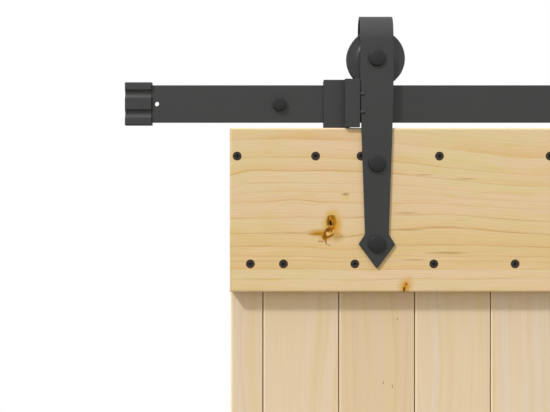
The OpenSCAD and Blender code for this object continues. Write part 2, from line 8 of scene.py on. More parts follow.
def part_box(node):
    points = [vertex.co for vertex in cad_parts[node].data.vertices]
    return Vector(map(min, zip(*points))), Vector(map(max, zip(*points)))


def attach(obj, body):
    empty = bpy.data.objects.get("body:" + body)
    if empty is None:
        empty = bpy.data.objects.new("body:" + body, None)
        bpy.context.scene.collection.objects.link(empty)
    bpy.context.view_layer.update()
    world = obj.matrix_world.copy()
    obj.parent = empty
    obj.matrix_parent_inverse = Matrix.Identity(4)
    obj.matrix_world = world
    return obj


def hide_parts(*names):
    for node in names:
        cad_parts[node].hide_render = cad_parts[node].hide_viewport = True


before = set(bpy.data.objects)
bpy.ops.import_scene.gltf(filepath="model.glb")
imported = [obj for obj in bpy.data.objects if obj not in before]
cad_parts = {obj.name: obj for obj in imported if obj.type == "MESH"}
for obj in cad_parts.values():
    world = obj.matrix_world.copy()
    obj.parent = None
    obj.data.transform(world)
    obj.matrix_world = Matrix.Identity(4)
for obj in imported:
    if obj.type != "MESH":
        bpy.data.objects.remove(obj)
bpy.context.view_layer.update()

# Rail
# A length of flat steel bar, drilled for five wall bolts and for a small screw at each end.
# Its long edges are lightly broken, and it is powder coated matt black.


def linear(red, green, blue):
    """A colour as it shows on a screen, 0 to 255, as the shader's linear values."""
    shares = [value / 255 for value in (red, green, blue)]
    return [s / 12.92 if s <= 0.04045 else ((s + 0.055) / 1.055) ** 2.4 for s in shares] + [1.0]


def put(tree, socket, value):
    """Sets an input, or links it where the value is another node's output."""
    if isinstance(value, bpy.types.NodeSocket):
        tree.links.new(value, socket)
    else:
        socket.default_value = value


def calc(tree, operation, *values):
    """One step of arithmetic on numbers or on other nodes' outputs."""
    node = tree.nodes.new("ShaderNodeMath")
    node.operation = operation
    for socket, value in zip(node.inputs, values):
        put(tree, socket, value)
    return node.outputs[0]


def noise(tree, where, scale, detail=2.0):
    """Soft random patches; scale is how often they change within a metre."""
    node = tree.nodes.new("ShaderNodeTexNoise")
    put(tree, node.inputs["Vector"], where)
    put(tree, node.inputs["Scale"], scale)
    put(tree, node.inputs["Detail"], detail)
    return node.outputs[0]


def ease(tree, value, low, high, start=0.0, end=1.0):
    """A smooth step of value between low and high, from start to end."""
    node = tree.nodes.new("ShaderNodeMapRange")
    node.interpolation_type = "SMOOTHSTEP"
    for socket, number in zip(node.inputs, (value, low, high, start, end)):
        put(tree, socket, number)
    return node.outputs[0]


def tint(tree, amount, first, second):
    """The first colour, with an amount of the second laid over it."""
    node = tree.nodes.new("ShaderNodeMix")
    node.data_type = "RGBA"
    put(tree, node.inputs[0], amount)
    put(tree, node.inputs[6], first)
    put(tree, node.inputs[7], second)
    return node.outputs[2]


def new_group(name, inputs, outputs):
    """A shader group of numbers, where only Place is a vector; returns its tree, inputs and outputs."""
    tree = bpy.data.node_groups.new(name, "ShaderNodeTree")
    for label in inputs:
        kind = "NodeSocketVector" if label == "Place" else "NodeSocketFloat"
        tree.interface.new_socket(label, in_out="INPUT", socket_type=kind)
    for label in outputs:
        tree.interface.new_socket(label, in_out="OUTPUT", socket_type="NodeSocketFloat")
    return tree, tree.nodes.new("NodeGroupInput").outputs, tree.nodes.new("NodeGroupOutput").inputs


def use_group(tree, group, **values):
    """Places a group in a material; underscores in a name stand for spaces."""
    node = tree.nodes.new("ShaderNodeGroup")
    node.node_tree = group
    for label, value in values.items():
        put(tree, node.inputs[label.replace("_", " ")], value)
    return node.outputs


def new_material(name, **sockets):
    """A material with a Principled shader; returns it, its tree, shader and object coordinates."""
    material = bpy.data.materials.new(name)
    material.use_nodes = True
    tree = material.node_tree
    shader = tree.nodes["Principled BSDF"]
    for label, value in sockets.items():
        shader.inputs[label.replace("_", " ")].default_value = value
    where = tree.nodes.new("ShaderNodeTexCoord").outputs["Object"]
    return material, tree, shader, where


def bump(tree, shader, height, distance):
    """Raises the surface in relief, by a height between 0 and 1 over a distance."""
    node = tree.nodes.new("ShaderNodeBump")
    node.inputs["Strength"].default_value = 1.0
    node.inputs["Distance"].default_value = distance
    put(tree, node.inputs["Height"], height)
    put(tree, shader.inputs["Normal"], node.outputs["Normal"])


cloud_rate = 38.0
coat_group, coat_in, coat_out = new_group("powder_coat", ["Place", "Grain size"], ["Cloud", "Pebble"])
pebble_rate = calc(coat_group, "DIVIDE", 1.0, coat_in["Grain size"])
put(coat_group, coat_out["Pebble"], noise(coat_group, coat_in["Place"], pebble_rate, 1.5))
put(coat_group, coat_out["Cloud"], noise(coat_group, coat_in["Place"], cloud_rate, 3.0))


def coated(name, dark, light, grain, smooth, rough, relief, gloss=0.5):
    """Powder coat or moulded black: a faint cloud of two tones with a pebbled surface."""
    material, tree, shader, where = new_material(name, Specular_IOR_Level=gloss)
    coat = use_group(tree, coat_group, Place=where, Grain_size=grain)
    put(tree, shader.inputs["Base Color"], tint(tree, coat["Cloud"], dark, light))
    put(tree, shader.inputs["Roughness"], ease(tree, coat["Pebble"], 0.25, 0.75, smooth, rough))
    bump(tree, shader, coat["Pebble"], relief)
    return material


def solid(name, mesh, *materials):
    """Turns a bmesh into an object of that name."""
    data = bpy.data.meshes.new(name)
    bmesh.ops.recalc_face_normals(mesh, faces=mesh.faces)
    mesh.to_mesh(data)
    mesh.free()
    for material in materials:
        data.materials.append(material)
    obj = bpy.data.objects.new(name, data)
    bpy.context.scene.collection.objects.link(obj)
    return obj


def piece(name, mesh, material, body):
    """A solid that rides on a body and stands for the CAD node of the same name."""
    obj = solid(name, mesh, material)
    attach(obj, body)
    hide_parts(name)
    return obj


def shade(obj, angle=32):
    """Smooth over bevels and turned faces, with flat faces kept flat."""
    obj.data.shade_smooth()
    obj.data.set_sharp_from_angle(angle=math.radians(angle))
    weighted = obj.modifiers.new("flat faces", "WEIGHTED_NORMAL")
    weighted.keep_sharp = True


def block(mesh, low, high):
    """Adds a box between two corners."""
    made = bmesh.ops.create_cube(mesh, size=1.0)["verts"]
    size = Vector(high) - Vector(low)
    middle = (Vector(high) + Vector(low)) / 2
    for vert in made:
        vert.co = Vector(vert.co[i] * size[i] + middle[i] for i in range(3))
    return made


def soften(mesh, width, segments=2, wanted=lambda edge: True):
    """Rounds the sharp edges of a mesh."""
    sharp = math.radians(25)
    edges = [e for e in mesh.edges if len(e.link_faces) == 2
             and e.calc_face_angle(0) > sharp and wanted(e)]
    bmesh.ops.bevel(mesh, geom=edges, offset=width, segments=segments, profile=0.5, affect="EDGES")


def skin(mesh, rings):
    """Covers the room between each ring of corners and the next; a ring of one corner is a point."""
    for first, second in zip(rings, rings[1:]):
        for k in range(max(len(first), len(second))):
            corners = [first[k % len(first)], first[(k + 1) % len(first)],
                       second[(k + 1) % len(second)], second[k % len(second)]]
            unique = list(dict.fromkeys(corners))
            if len(unique) > 2:
                mesh.faces.new(unique)


def lathe(mesh, profile, centre, steps=64, along="Y"):
    """Turns a closed or open profile of radius and distance about an axis through centre."""
    rings = []
    for radius, distance in profile:
        ring = []
        count = 1 if radius < 1e-7 else steps
        for k in range(count):
            turn = 2 * math.pi * k / steps
            a = radius * math.cos(turn)
            b = radius * math.sin(turn)
            offset = (a, distance, b) if along == "Y" else (distance, a, b)
            ring.append(mesh.verts.new(Vector(centre) + Vector(offset)))
        rings.append(ring)
    skin(mesh, rings)


def bore(mesh, radius, start, end, centre, steps=48):
    """Adds a round drill along Y, from start to end as seen from its centre."""
    lathe(mesh, [(0, start), (radius, start), (radius, end), (0, end)], centre, steps)


def carve(obj, cutter_mesh, operation="DIFFERENCE"):
    """Cuts a bmesh out of an object, or joins it on, and keeps the result as its mesh."""
    tool = solid("cutter", cutter_mesh)
    modifier = obj.modifiers.new("cut", "BOOLEAN")
    modifier.operation = operation
    modifier.solver = "EXACT"
    modifier.object = tool
    bpy.context.view_layer.update()
    evaluated = obj.evaluated_get(bpy.context.evaluated_depsgraph_get())
    result = bpy.data.meshes.new_from_object(evaluated)
    obj.modifiers.clear()
    obj.data = result
    bpy.data.objects.remove(tool)


steel_dark = linear(38, 38.5, 39)
steel_light = linear(44, 44.5, 45)
powder_coat = coated("black_powder_coat", steel_dark, steel_light, 0.0011, 0.42, 0.58, 0.00004)
rail_edge = 0.0007
bolt_hole = 0.00425
end_hole = 0.0025
end_hole_inset = 0.031
drill_reach = 0.012
rail_low, rail_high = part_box("rail")
rail_y = (rail_low.y + rail_high.y) / 2
spacer_names = ["spacer_%d" % number for number in range(1, 6)]
bolt_xs = []
for name in spacer_names:
    low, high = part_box(name)
    bolt_xs.append((low.x + high.x) / 2)

mesh = bmesh.new()
block(mesh, rail_low, rail_high)
soften(mesh, rail_edge)
rail = piece("rail", mesh, powder_coat, "track")
mesh = bmesh.new()
for x in bolt_xs:
    bore(mesh, bolt_hole, -drill_reach, drill_reach, (x, rail_y, 0))
for x in (rail_low.x + end_hole_inset, rail_high.x - end_hole_inset):
    bore(mesh, end_hole, -drill_reach, drill_reach, (x, rail_y, 0))
carve(rail, mesh)
shade(rail)

# Wall spacers
# Turned steel tubes that hold the rail off the wall, one on each lag bolt, in the rail's coat.


def weld(mesh):
    """Joins the corners that lie on each other."""
    bmesh.ops.remove_doubles(mesh, verts=mesh.verts, dist=1e-7)


spacer_edge = 0.0006
for name, x in zip(spacer_names, bolt_xs):
    low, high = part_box(name)
    outer = (high.x - low.x) / 2
    mesh = bmesh.new()
    lathe(mesh, [
        (bolt_hole, low.y), (outer - spacer_edge, low.y), (outer, low.y + spacer_edge),
        (outer, high.y - spacer_edge), (outer - spacer_edge, high.y), (bolt_hole, high.y), (bolt_hole, low.y),
    ], (x, 0, 0))
    weld(mesh)
    shade(piece(name, mesh, powder_coat, "track"))

# Lag bolts
# Hexagon headed steel screws through rail and spacer, blacked, with a coarse rolled thread
# that bites into the wall. The head's corners are turned off in a chamfer.

chamfer_share = 0.475
chamfer_angle = 30
ridge_share = 0.28
blunt_share = 0.08


def hex_head(mesh, centre, flats, start, end, hole=0.0, steps=72):
    """A hexagon with its points up and down; the corners of its outer end are chamfered."""
    chamfer_r = chamfer_share * flats
    slope = math.tan(math.radians(chamfer_angle))
    way = 1 if end > start else -1
    rings = [[], [], [], [], []]
    for k in range(steps):
        turn = 2 * math.pi * k / steps
        within = (math.degrees(turn) % 60) - 30
        radius = flats / 2 / math.cos(math.radians(within))
        drop = max(0.0, radius - chamfer_r) * slope
        radii = (radius, radius, chamfer_r, hole, hole)
        depths = (start, end - way * drop, end, end, start)
        for ring, r, y in zip(rings, radii, depths):
            place = Vector(centre) + Vector((r * math.sin(turn), y, r * math.cos(turn)))
            ring.append(mesh.verts.new(place))
    skin(mesh, rings + rings[:1])
    weld(mesh)


def thread(mesh, centre, root, crest, pitch, start, taper, end, steps=24, per_turn=8):
    """A screw thread along Y from start to end; it narrows to a point after taper."""
    count = int((end - start) / pitch * per_turn)
    rings = []
    for i in range(count + 1):
        y = start + (end - start) * i / count
        shrink = 1.0 if y < taper else max(blunt_share, 1 - (y - taper) / (end - taper))
        ring = []
        for k in range(steps):
            phase = (y / pitch - k / steps) % 1.0
            ridge = max(0.0, 1 - abs(phase - 0.5) / ridge_share)
            grown = (root + (crest - root) * ridge) * shrink
            turn = 2 * math.pi * k / steps
            place = Vector(centre) + Vector((grown * math.cos(turn), y, grown * math.sin(turn)))
            ring.append(mesh.verts.new(place))
        rings.append(ring)
    skin(mesh, rings)
    mesh.faces.new(rings[0])
    mesh.faces.new(rings[-1])


blacked_dark = linear(28, 29, 30)
blacked_light = linear(33, 34, 35)
blacked = coated("blacked_steel", blacked_dark, blacked_light, 0.0006, 0.42, 0.55, 0.000012, 0.3)
lag_flats = 0.013
lag_shank = 0.004
lag_root = 0.0029
lag_crest = 0.0039
lag_pitch = 0.0032
lag_taper = 0.047
shank_end = -0.0004
root_start = 0.0005
lag_low, lag_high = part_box("lag_bolts")
mesh = bmesh.new()
for x in bolt_xs:
    hex_head(mesh, (x, 0, 0), lag_flats, rail_low.y, lag_low.y)
    lathe(mesh, [(0, rail_low.y), (lag_shank, rail_low.y), (lag_shank, shank_end), (lag_root, root_start),
                 (0, root_start)], (x, 0, 0), 40)
    thread(mesh, (x, 0, 0), lag_root, lag_crest, lag_pitch, 0.0, lag_taper, lag_high.y)
shade(piece("lag_bolts", mesh, blacked, "track"))

# End caps
# Soft black rubber caps pushed over the rail's ends. Two round grooves run along each face,
# so the cap shows three lands.


def arc(cx, cy, radius, start, end, steps):
    """Points on an arc between two angles in degrees."""
    turns = [math.radians(start + (end - start) * k / steps) for k in range(steps + 1)]
    return [(cx + radius * math.cos(t), cy + radius * math.sin(t)) for t in turns]


def prism(mesh, outline, start, end, corner):
    """A closed outline carried from start to end; corner turns a point and a distance into a place."""
    near = [mesh.verts.new(corner(p, start)) for p in outline]
    far = [mesh.verts.new(corner(p, end)) for p in outline]
    mesh.faces.new(near)
    mesh.faces.new(far)
    count = len(outline)
    for k in range(count):
        mesh.faces.new([near[k], near[(k + 1) % count], far[(k + 1) % count], far[k]])


rubber = coated("black_rubber", linear(37, 38, 39), linear(43, 44, 45), 0.0016, 0.5, 0.62, 0.00002)
cap_corner = 0.0012
cap_edge = 0.0007
cap_groove_w = 0.0095
cap_groove_deep = 0.0021
cap_groove_z = 0.0106
cap_end_wall = 0.0025
cap_slip = 0.00015
past_mouth = 0.01
groove_r = (cap_groove_w ** 2 / 4 + cap_groove_deep ** 2) / (2 * cap_groove_deep)
groove_half = math.degrees(math.asin(cap_groove_w / 2 / groove_r))
inward = {"left": 1, "right": -1}
for side, way in inward.items():
    name = "end_cap_" + side
    low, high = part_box(name)
    half_t = (high.y - low.y) / 2
    half_h = (high.z - low.z) / 2
    half = arc(half_t - cap_corner, -half_h + cap_corner, cap_corner, -90, 0, 4)
    for z in (-cap_groove_z, cap_groove_z):
        centre = half_t - cap_groove_deep + groove_r
        half += arc(centre, z, groove_r, 180 + groove_half, 180 - groove_half, 14)
    half += arc(half_t - cap_corner, half_h - cap_corner, cap_corner, 0, 90, 4)
    outline = half + [(-y, -z) for y, z in half]
    mesh = bmesh.new()
    prism(mesh, outline, low.x, high.x, lambda p, x: Vector((x, rail_y + p[0], p[1])))
    soften(mesh, cap_edge, 3)
    cap = piece(name, mesh, rubber, "track")
    mesh = bmesh.new()
    inner = low.x + cap_end_wall if way > 0 else high.x - cap_end_wall
    mouth = high.x + past_mouth if way > 0 else low.x - past_mouth
    block(mesh, (min(inner, mouth), rail_low.y - cap_slip, rail_low.z - cap_slip),
          (max(inner, mouth), rail_high.y + cap_slip, rail_high.z + cap_slip))
    carve(cap, mesh)
    shade(cap, 40)

# End stops
# Cast in one piece: a C shaped saddle slid on to the rail, clamped from behind by two grub screws,
# with a block in front of it that stands in the hanger's way. Coated like the rail.


def finish_node(name, material):
    """Gives a CAD piece that shows as it is the surface of its material."""
    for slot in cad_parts[name].material_slots:
        slot.material = material


saddle_wall = 0.0035
saddle_slip = 0.00015
lip_reach = 0.006
saddle_len = 0.028
block_len = 0.0158
block_back = -0.046
cast_overlap = 0.001
cast_edge = 0.0004
flat_limit = 0.01
front = rail_low.y - saddle_wall
slot_front = rail_low.y - saddle_slip
slot_back = rail_high.y + saddle_slip
slot_low = rail_low.z - saddle_slip
slot_high = rail_high.z + saddle_slip
lip_low = rail_low.z + lip_reach
lip_high = rail_high.z - lip_reach
for side, way in inward.items():
    name = "stop_" + side
    low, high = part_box(name)
    saddle_start = low.x if way > 0 else high.x
    saddle_end = saddle_start + way * saddle_len
    block_end = high.x if way > 0 else low.x
    block_start = block_end - way * block_len
    section = [
        (front, low.z), (high.y, low.z), (high.y, lip_low), (slot_back, lip_low), (slot_back, slot_low),
        (slot_front, slot_low), (slot_front, slot_high), (slot_back, slot_high), (slot_back, lip_high),
        (high.y, lip_high), (high.y, high.z), (front, high.z),
    ]
    mesh = bmesh.new()
    prism(mesh, section, saddle_start, saddle_end, lambda p, x: Vector((x, p[0], p[1])))
    stop = piece(name, mesh, powder_coat, "track")
    corner = [(block_start, low.y), (block_end, low.y), (block_end, block_back), (saddle_end, block_back),
              (saddle_end, front + cast_overlap), (block_start, front + cast_overlap)]
    mesh = bmesh.new()
    prism(mesh, corner, low.z, high.z, lambda p, z: Vector((p[0], p[1], z)))
    carve(stop, mesh, "UNION")
    rounded = bmesh.new()
    rounded.from_mesh(stop.data)
    bmesh.ops.dissolve_limit(rounded, angle_limit=flat_limit, verts=rounded.verts, edges=rounded.edges)
    soften(rounded, cast_edge)
    rounded.to_mesh(stop.data)
    rounded.free()
    shade(stop)
    finish_node("grub_screws_" + side, blacked)

# Planks
# Twelve vertical pine boards with tongue and groove edges, planed and clear oiled, the two
# outer ones ripped narrow. Each board comes from another log, so its grain starts anew.


def times(tree, first, second):
    return calc(tree, "MULTIPLY", first, second)


def minus(tree, first, second):
    return calc(tree, "SUBTRACT", first, second)


def slant(tree, first, second):
    """The length of a line that goes first one way and second square to it."""
    return calc(tree, "SQRT", calc(tree, "MULTIPLY_ADD", first, first, times(tree, second, second)))


def split(tree, value, kind="XYZ"):
    """The three parts of a place, or of a colour."""
    node = tree.nodes.new("ShaderNodeSeparate" + kind)
    put(tree, node.inputs[0], value)
    return node.outputs


def streaks(tree, parts, rates, scale=1.0, detail=2.0):
    """Noise that changes at its own rate in each of three directions."""
    node = tree.nodes.new("ShaderNodeCombineXYZ")
    for socket, part, rate in zip(node.inputs, parts, rates):
        put(tree, socket, times(tree, part, rate))
    return noise(tree, node.outputs[0], scale, detail)


fibre_group, fibre_in, fibre_out = new_group("wood_fibre", ["Along", "Across", "Depth"], ["Fibre", "Fleck"])
fibre_place = (fibre_in["Along"], fibre_in["Across"], fibre_in["Depth"])
for label, slow, fast, low, high in (("Fibre", 14.0, 620.0, 0.3, 0.7), ("Fleck", 75.0, 1100.0, 0.72, 0.82)):
    strands = streaks(fibre_group, fibre_place, (slow, fast, fast))
    put(fibre_group, fibre_out[label], ease(fibre_group, strands, low, high))

torn_rate = 330.0
mark_sizes = ["Mid along", "Mid across", "Half along", "Half across", "Lean", "Ragged"]
mark_group, mark_in, mark_out = new_group("wood_mark", ["Along", "Across"] + mark_sizes, ["Distance"])


def mark_distance(tree, mark):
    """Distance from the middle of a leaning oval, where its ragged edge is at 1."""
    du = minus(tree, mark["Along"], mark["Mid along"])
    dv = minus(tree, mark["Across"], mark["Mid across"])
    u = calc(tree, "DIVIDE", minus(tree, du, times(tree, dv, mark["Lean"])), mark["Half along"])
    v = calc(tree, "DIVIDE", dv, mark["Half across"])
    torn = streaks(tree, (mark["Along"], mark["Across"], 0.0), (1.0, 1.0, 1.0), torn_rate)
    return calc(tree, "MULTIPLY_ADD", minus(tree, torn, 0.5), mark["Ragged"], slant(tree, u, v))


put(mark_group, mark_out["Distance"], mark_distance(mark_group, mark_in))

ring_width = 0.0095
pith_wander = 0.05
pith_sideways = 0.07
pith_near = 0.02
pith_far = 0.09
wood_relief = 0.00006


def grown_rings(tree, along, across, depth, pith_across, pith_depth, seed):
    """Counts the rings around a wandering pith, as the face and the ends of a board cut through them."""
    slow = minus(tree, streaks(tree, (along, across, seed), (1.4, 4.0, 1.0), 2.2, 1.0), 0.5)
    off_across = minus(tree, calc(tree, "MULTIPLY_ADD", slow, pith_wander, across), pith_across)
    off_depth = minus(tree, depth, pith_depth)
    rings = calc(tree, "DIVIDE", slant(tree, off_depth, off_across), ring_width)
    uneven = streaks(tree, (rings, seed, 0.0), (0.8, 1.0, 1.0), 1.0, 1.0)
    return calc(tree, "MULTIPLY_ADD", uneven, 1.6, rings)


def oiled(tree, shader, colour, fibre, late, late_rise):
    """Planed and oiled wood: its colour, a gloss that the fibre breaks up, and raised late wood."""
    put(tree, shader.inputs["Base Color"], colour)
    put(tree, shader.inputs["Roughness"], ease(tree, fibre["Fibre"], 0.0, 1.0, 0.5, 0.64))
    bump(tree, shader, calc(tree, "MULTIPLY_ADD", late, late_rise, fibre["Fibre"]), wood_relief)


# Small resin specks: x, z, half width and half height
plank_specks = (
    (-0.7103, -0.2318, 0.0011, 0.0014), (-0.7253, -0.3006, 0.0008, 0.0022),
    (-0.7157, -0.3047, 0.0008, 0.0026), (-0.6075, -0.4810, 0.0010, 0.0020),
    (-0.4420, -0.7240, 0.0012, 0.0018), (-0.3390, -1.3420, 0.0009, 0.0024),
    (-0.1510, -0.6070, 0.0011, 0.0016), (-0.8020, -1.6650, 0.0010, 0.0022),
    (-0.2370, -1.7810, 0.0012, 0.0015),
)
plank_white = linear(218, 203, 183)
plank_cream = linear(221, 200, 170)
plank_pink = linear(216, 190, 159)
plank_straw = linear(216, 196, 150)
plank_late = linear(203, 166, 118)
plank_fleck = linear(176, 140, 96)
plank_fibre = linear(204, 178, 138)
plank_painted_highlight = linear(250, 234, 204)
speck_brown = linear(150, 108, 64)
plank_names = ["plank_%02d" % number for number in range(1, 13)]
plank_boxes = [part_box(name) for name in plank_names]
door_low = plank_boxes[0][0]
door_high = plank_boxes[-1][1]
half_door = (door_high.x - door_low.x) / 2
seam = 0.0012
plank_cover = plank_boxes[2][0].x - plank_boxes[1][0].x
first_seam = plank_boxes[1][0].x - seam / 2
first_log = 23.4

plank_pine, tree, shader, where = new_material("plank_pine", Specular_IOR_Level=0.2)
axes = split(tree, where)
along = axes["Z"]
depth = minus(tree, axes["Y"], plank_boxes[1][0].y)
board = calc(tree, "FLOOR", calc(tree, "DIVIDE", minus(tree, axes["X"], first_seam), plank_cover))
middle = calc(tree, "MULTIPLY_ADD", calc(tree, "ADD", board, 0.5), plank_cover, first_seam)
across = minus(tree, axes["X"], middle)
log_draw = tree.nodes.new("ShaderNodeTexWhiteNoise")
log_draw.noise_dimensions = "1D"
put(tree, log_draw.inputs["W"], calc(tree, "ADD", board, first_log))
draws = split(tree, log_draw.outputs["Color"], "Color")
pith_across = ease(tree, draws[0], 0.0, 1.0, -pith_sideways, pith_sideways)
pith_depth = ease(tree, draws[1], 0.0, 1.0, pith_near, pith_far)
seed = times(tree, draws[2], 40.0)
rings = grown_rings(tree, along, across, depth, pith_across, pith_depth, seed)
fibre = use_group(tree, fibre_group, Along=along, Across=across, Depth=depth)
broad = streaks(tree, (along, rings, seed), (1.2, 0.5, 1.0))
narrow = streaks(tree, (along, rings, seed), (2.6, 1.9, 1.0))
broken = streaks(tree, (along, rings, seed), (3.0, 1.0, 1.0))
late = calc(tree, "POWER", calc(tree, "FRACT", rings), 3.0)
tone = calc(tree, "FRACT", calc(tree, "MULTIPLY_ADD", board, 0.618, 0.35))
colour = tint(tree, ease(tree, broad, 0.36, 0.64), plank_white, plank_cream)
colour = tint(tree, ease(tree, tone, 0.6, 1.0, 0.0, 0.8), colour, plank_pink)
colour = tint(tree, ease(tree, narrow, 0.46, 0.72, 0.0, 0.8), colour, plank_straw)
late_seen = times(tree, late, ease(tree, broken, 0.4, 0.7))
colour = tint(tree, times(tree, late_seen, 0.3), colour, plank_late)
colour = tint(tree, times(tree, fibre["Fleck"], 0.25), colour, plank_fleck)
colour = tint(tree, times(tree, fibre["Fibre"], 0.1), colour, plank_fibre)
# Painted highlight where the key light catches the edges, strongest on each board's left edge and on the
# door's outer edges: distance from the edge, where it is full, where it ends, and how much
off_middle = calc(tree, "ABSOLUTE", minus(tree, axes["X"], door_low.x + half_door))
painted_edge_highlights = (
    (minus(tree, plank_cover / 2, across), 0.0008, 0.0026, 0.15),
    (calc(tree, "ADD", across, plank_cover / 2), 0.0008, 0.0030, 0.6),
    (minus(tree, half_door, off_middle), 0.0005, 0.0035, 0.8),
)
painted_edge_light = 0.0
for from_edge, full, gone, amount in painted_edge_highlights:
    painted_edge_light = calc(tree, "MAXIMUM", painted_edge_light, ease(tree, from_edge, full, gone, amount, 0.0))
# The painted highlight fades out within a few millimetres behind the front face
painted_edge_light = times(tree, painted_edge_light, ease(tree, depth, 0.0004, 0.0025, 1.0, 0.0))
# The painted edge highlight is laid over the wood's colour
colour = tint(tree, painted_edge_light, colour, plank_painted_highlight)
for x, z, half_x, half_z in plank_specks:
    spot = use_group(tree, mark_group, Along=axes["X"], Across=along, Mid_along=x, Mid_across=z,
                     Half_along=half_x, Half_across=half_z, Ragged=0.4)
    colour = tint(tree, ease(tree, spot["Distance"], 0.3, 1.1, 0.75, 0.0), colour, speck_brown)
oiled(tree, shader, colour, fibre, late, 0.4)

strap_xs = {}
for side in ("left", "right"):
    low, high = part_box("strap_" + side)
    strap_xs[side] = (low.x + high.x) / 2
strap_bolt_zs = (-0.0635, -0.1485)
sleeve_hole = 0.0051
plank_chamfer = 0.0006
plank_edge = 0.0002
tongue_len = 0.007
tongue_t = 0.006
tongue_slip = 0.00015
groove_deep = tongue_len - seam + 2 * tongue_slip
groove_half_t = tongue_t / 2 + tongue_slip
for name, (low, high) in zip(plank_names, plank_boxes):
    first = name == plank_names[0]
    last = name == plank_names[-1]
    left = low.x
    right = high.x if last else high.x - tongue_len
    mid_y = (low.y + high.y) / 2
    outline = [(left + plank_chamfer, low.y), (right - plank_chamfer, low.y), (right, low.y + plank_chamfer)]
    if not last:
        outline += [(right, mid_y - tongue_t / 2), (right + tongue_len, mid_y - tongue_t / 2),
                    (right + tongue_len, mid_y + tongue_t / 2), (right, mid_y + tongue_t / 2)]
    outline += [(right, high.y), (left, high.y)]
    if not first:
        outline += [(left, mid_y + groove_half_t), (left + groove_deep, mid_y + groove_half_t),
                    (left + groove_deep, mid_y - groove_half_t), (left, mid_y - groove_half_t)]
    outline += [(left, low.y + plank_chamfer)]
    mesh = bmesh.new()
    prism(mesh, outline, low.z, high.z, lambda p, z: Vector((p[0], p[1], z)))
    soften(mesh, plank_edge)
    plank = piece(name, mesh, plank_pine, "door")
    sleeves = [(x, mid_y, z) for x in strap_xs.values() for z in strap_bolt_zs if left < x < right]
    if sleeves:
        mesh = bmesh.new()
        for place in sleeves:
            bore(mesh, sleeve_hole, -drill_reach, drill_reach, place, 40)
        carve(plank, mesh)
    shade(plank)

# Ledgers
# Three wide pine boards across the planks, with eased front edges. Each year's growth ends in a thin
# dark line with warmer wood above it, and where a branch grew there is a resinous knot.

# How far below the top the painted highlight on the ledgers' top edge reaches
painted_highlight_reach = 0.0021
wobble_reach = 0.0042
pith_up = 0.11
pith_deep = 0.09
pale_pink = linear(219, 194, 159)
pale_straw = linear(215, 196, 151)
honey = linear(213, 181, 124)
deep_honey = linear(212, 166, 104)
late_brown = linear(166, 128, 74)
greenish = linear(211, 188, 124)
rosy = linear(226, 194, 160)
fleck_brown = linear(172, 132, 84)
fibre_brown = linear(202, 172, 126)
# Colour of the painted highlight on the ledgers' top edge
painted_highlight_pale = linear(249, 231, 200)


def swayed(tree, along, across, sways):
    """The grain's course: each sway lifts it around a place, by x, z, reach along, reach across and lift."""
    course = across
    for x, z, reach_x, reach_z, lift in sways:
        u = calc(tree, "DIVIDE", minus(tree, along, x), reach_x)
        v = calc(tree, "DIVIDE", minus(tree, across, z), reach_z)
        far = calc(tree, "MULTIPLY_ADD", u, u, times(tree, v, v))
        hump = calc(tree, "EXPONENT", times(tree, far, -1.0))
        course = calc(tree, "MULTIPLY_ADD", hump, -lift, course)
    return course


def count_years(tree, below, depth, board_h, years):
    """Which year's growth a place is in, counted from the board's top, along arches about the pith."""
    reach = slant(tree, calc(tree, "ADD", below, pith_up), minus(tree, depth, pith_deep))
    nearest = math.hypot(pith_up, pith_deep)
    span = math.hypot(pith_up + board_h, pith_deep) - nearest
    total = len(years) + 1
    curve = tree.nodes.new("ShaderNodeFloatCurve")
    curve.mapping.extend = "EXTRAPOLATED"
    points = curve.mapping.curves[0].points
    for number, year in enumerate(years, 1):
        points.new((math.hypot(pith_up + year[0], pith_deep) - nearest) / span, number / total)
    points[0].location = (0.0, 0.5 / total)
    points[-1].location = (1.0, (total - 0.5) / total)
    curve.mapping.update()
    put(tree, curve.inputs["Value"], calc(tree, "DIVIDE", minus(tree, reach, nearest), span))
    return times(tree, curve.outputs[0], float(total))


def year_looks(tree, count, years):
    """How dark the line, how warm the late wood and how deep the tone of each year is."""
    ramp = tree.nodes.new("ShaderNodeValToRGB")
    ramp.color_ramp.interpolation = "CONSTANT"
    elements = ramp.color_ramp.elements
    elements.remove(elements[1])
    total = len(years) + 1
    for number, year in enumerate(years + years[-1:]):
        spot = elements[0] if number == 0 else elements.new(number / total)
        spot.position = number / total
        spot.color = (year[1], year[2], year[3], 1.0)
    put(tree, ramp.inputs[0], calc(tree, "DIVIDE", calc(tree, "ADD", calc(tree, "FLOOR", count), 0.5), total))
    return split(tree, ramp.outputs[0], "Color")


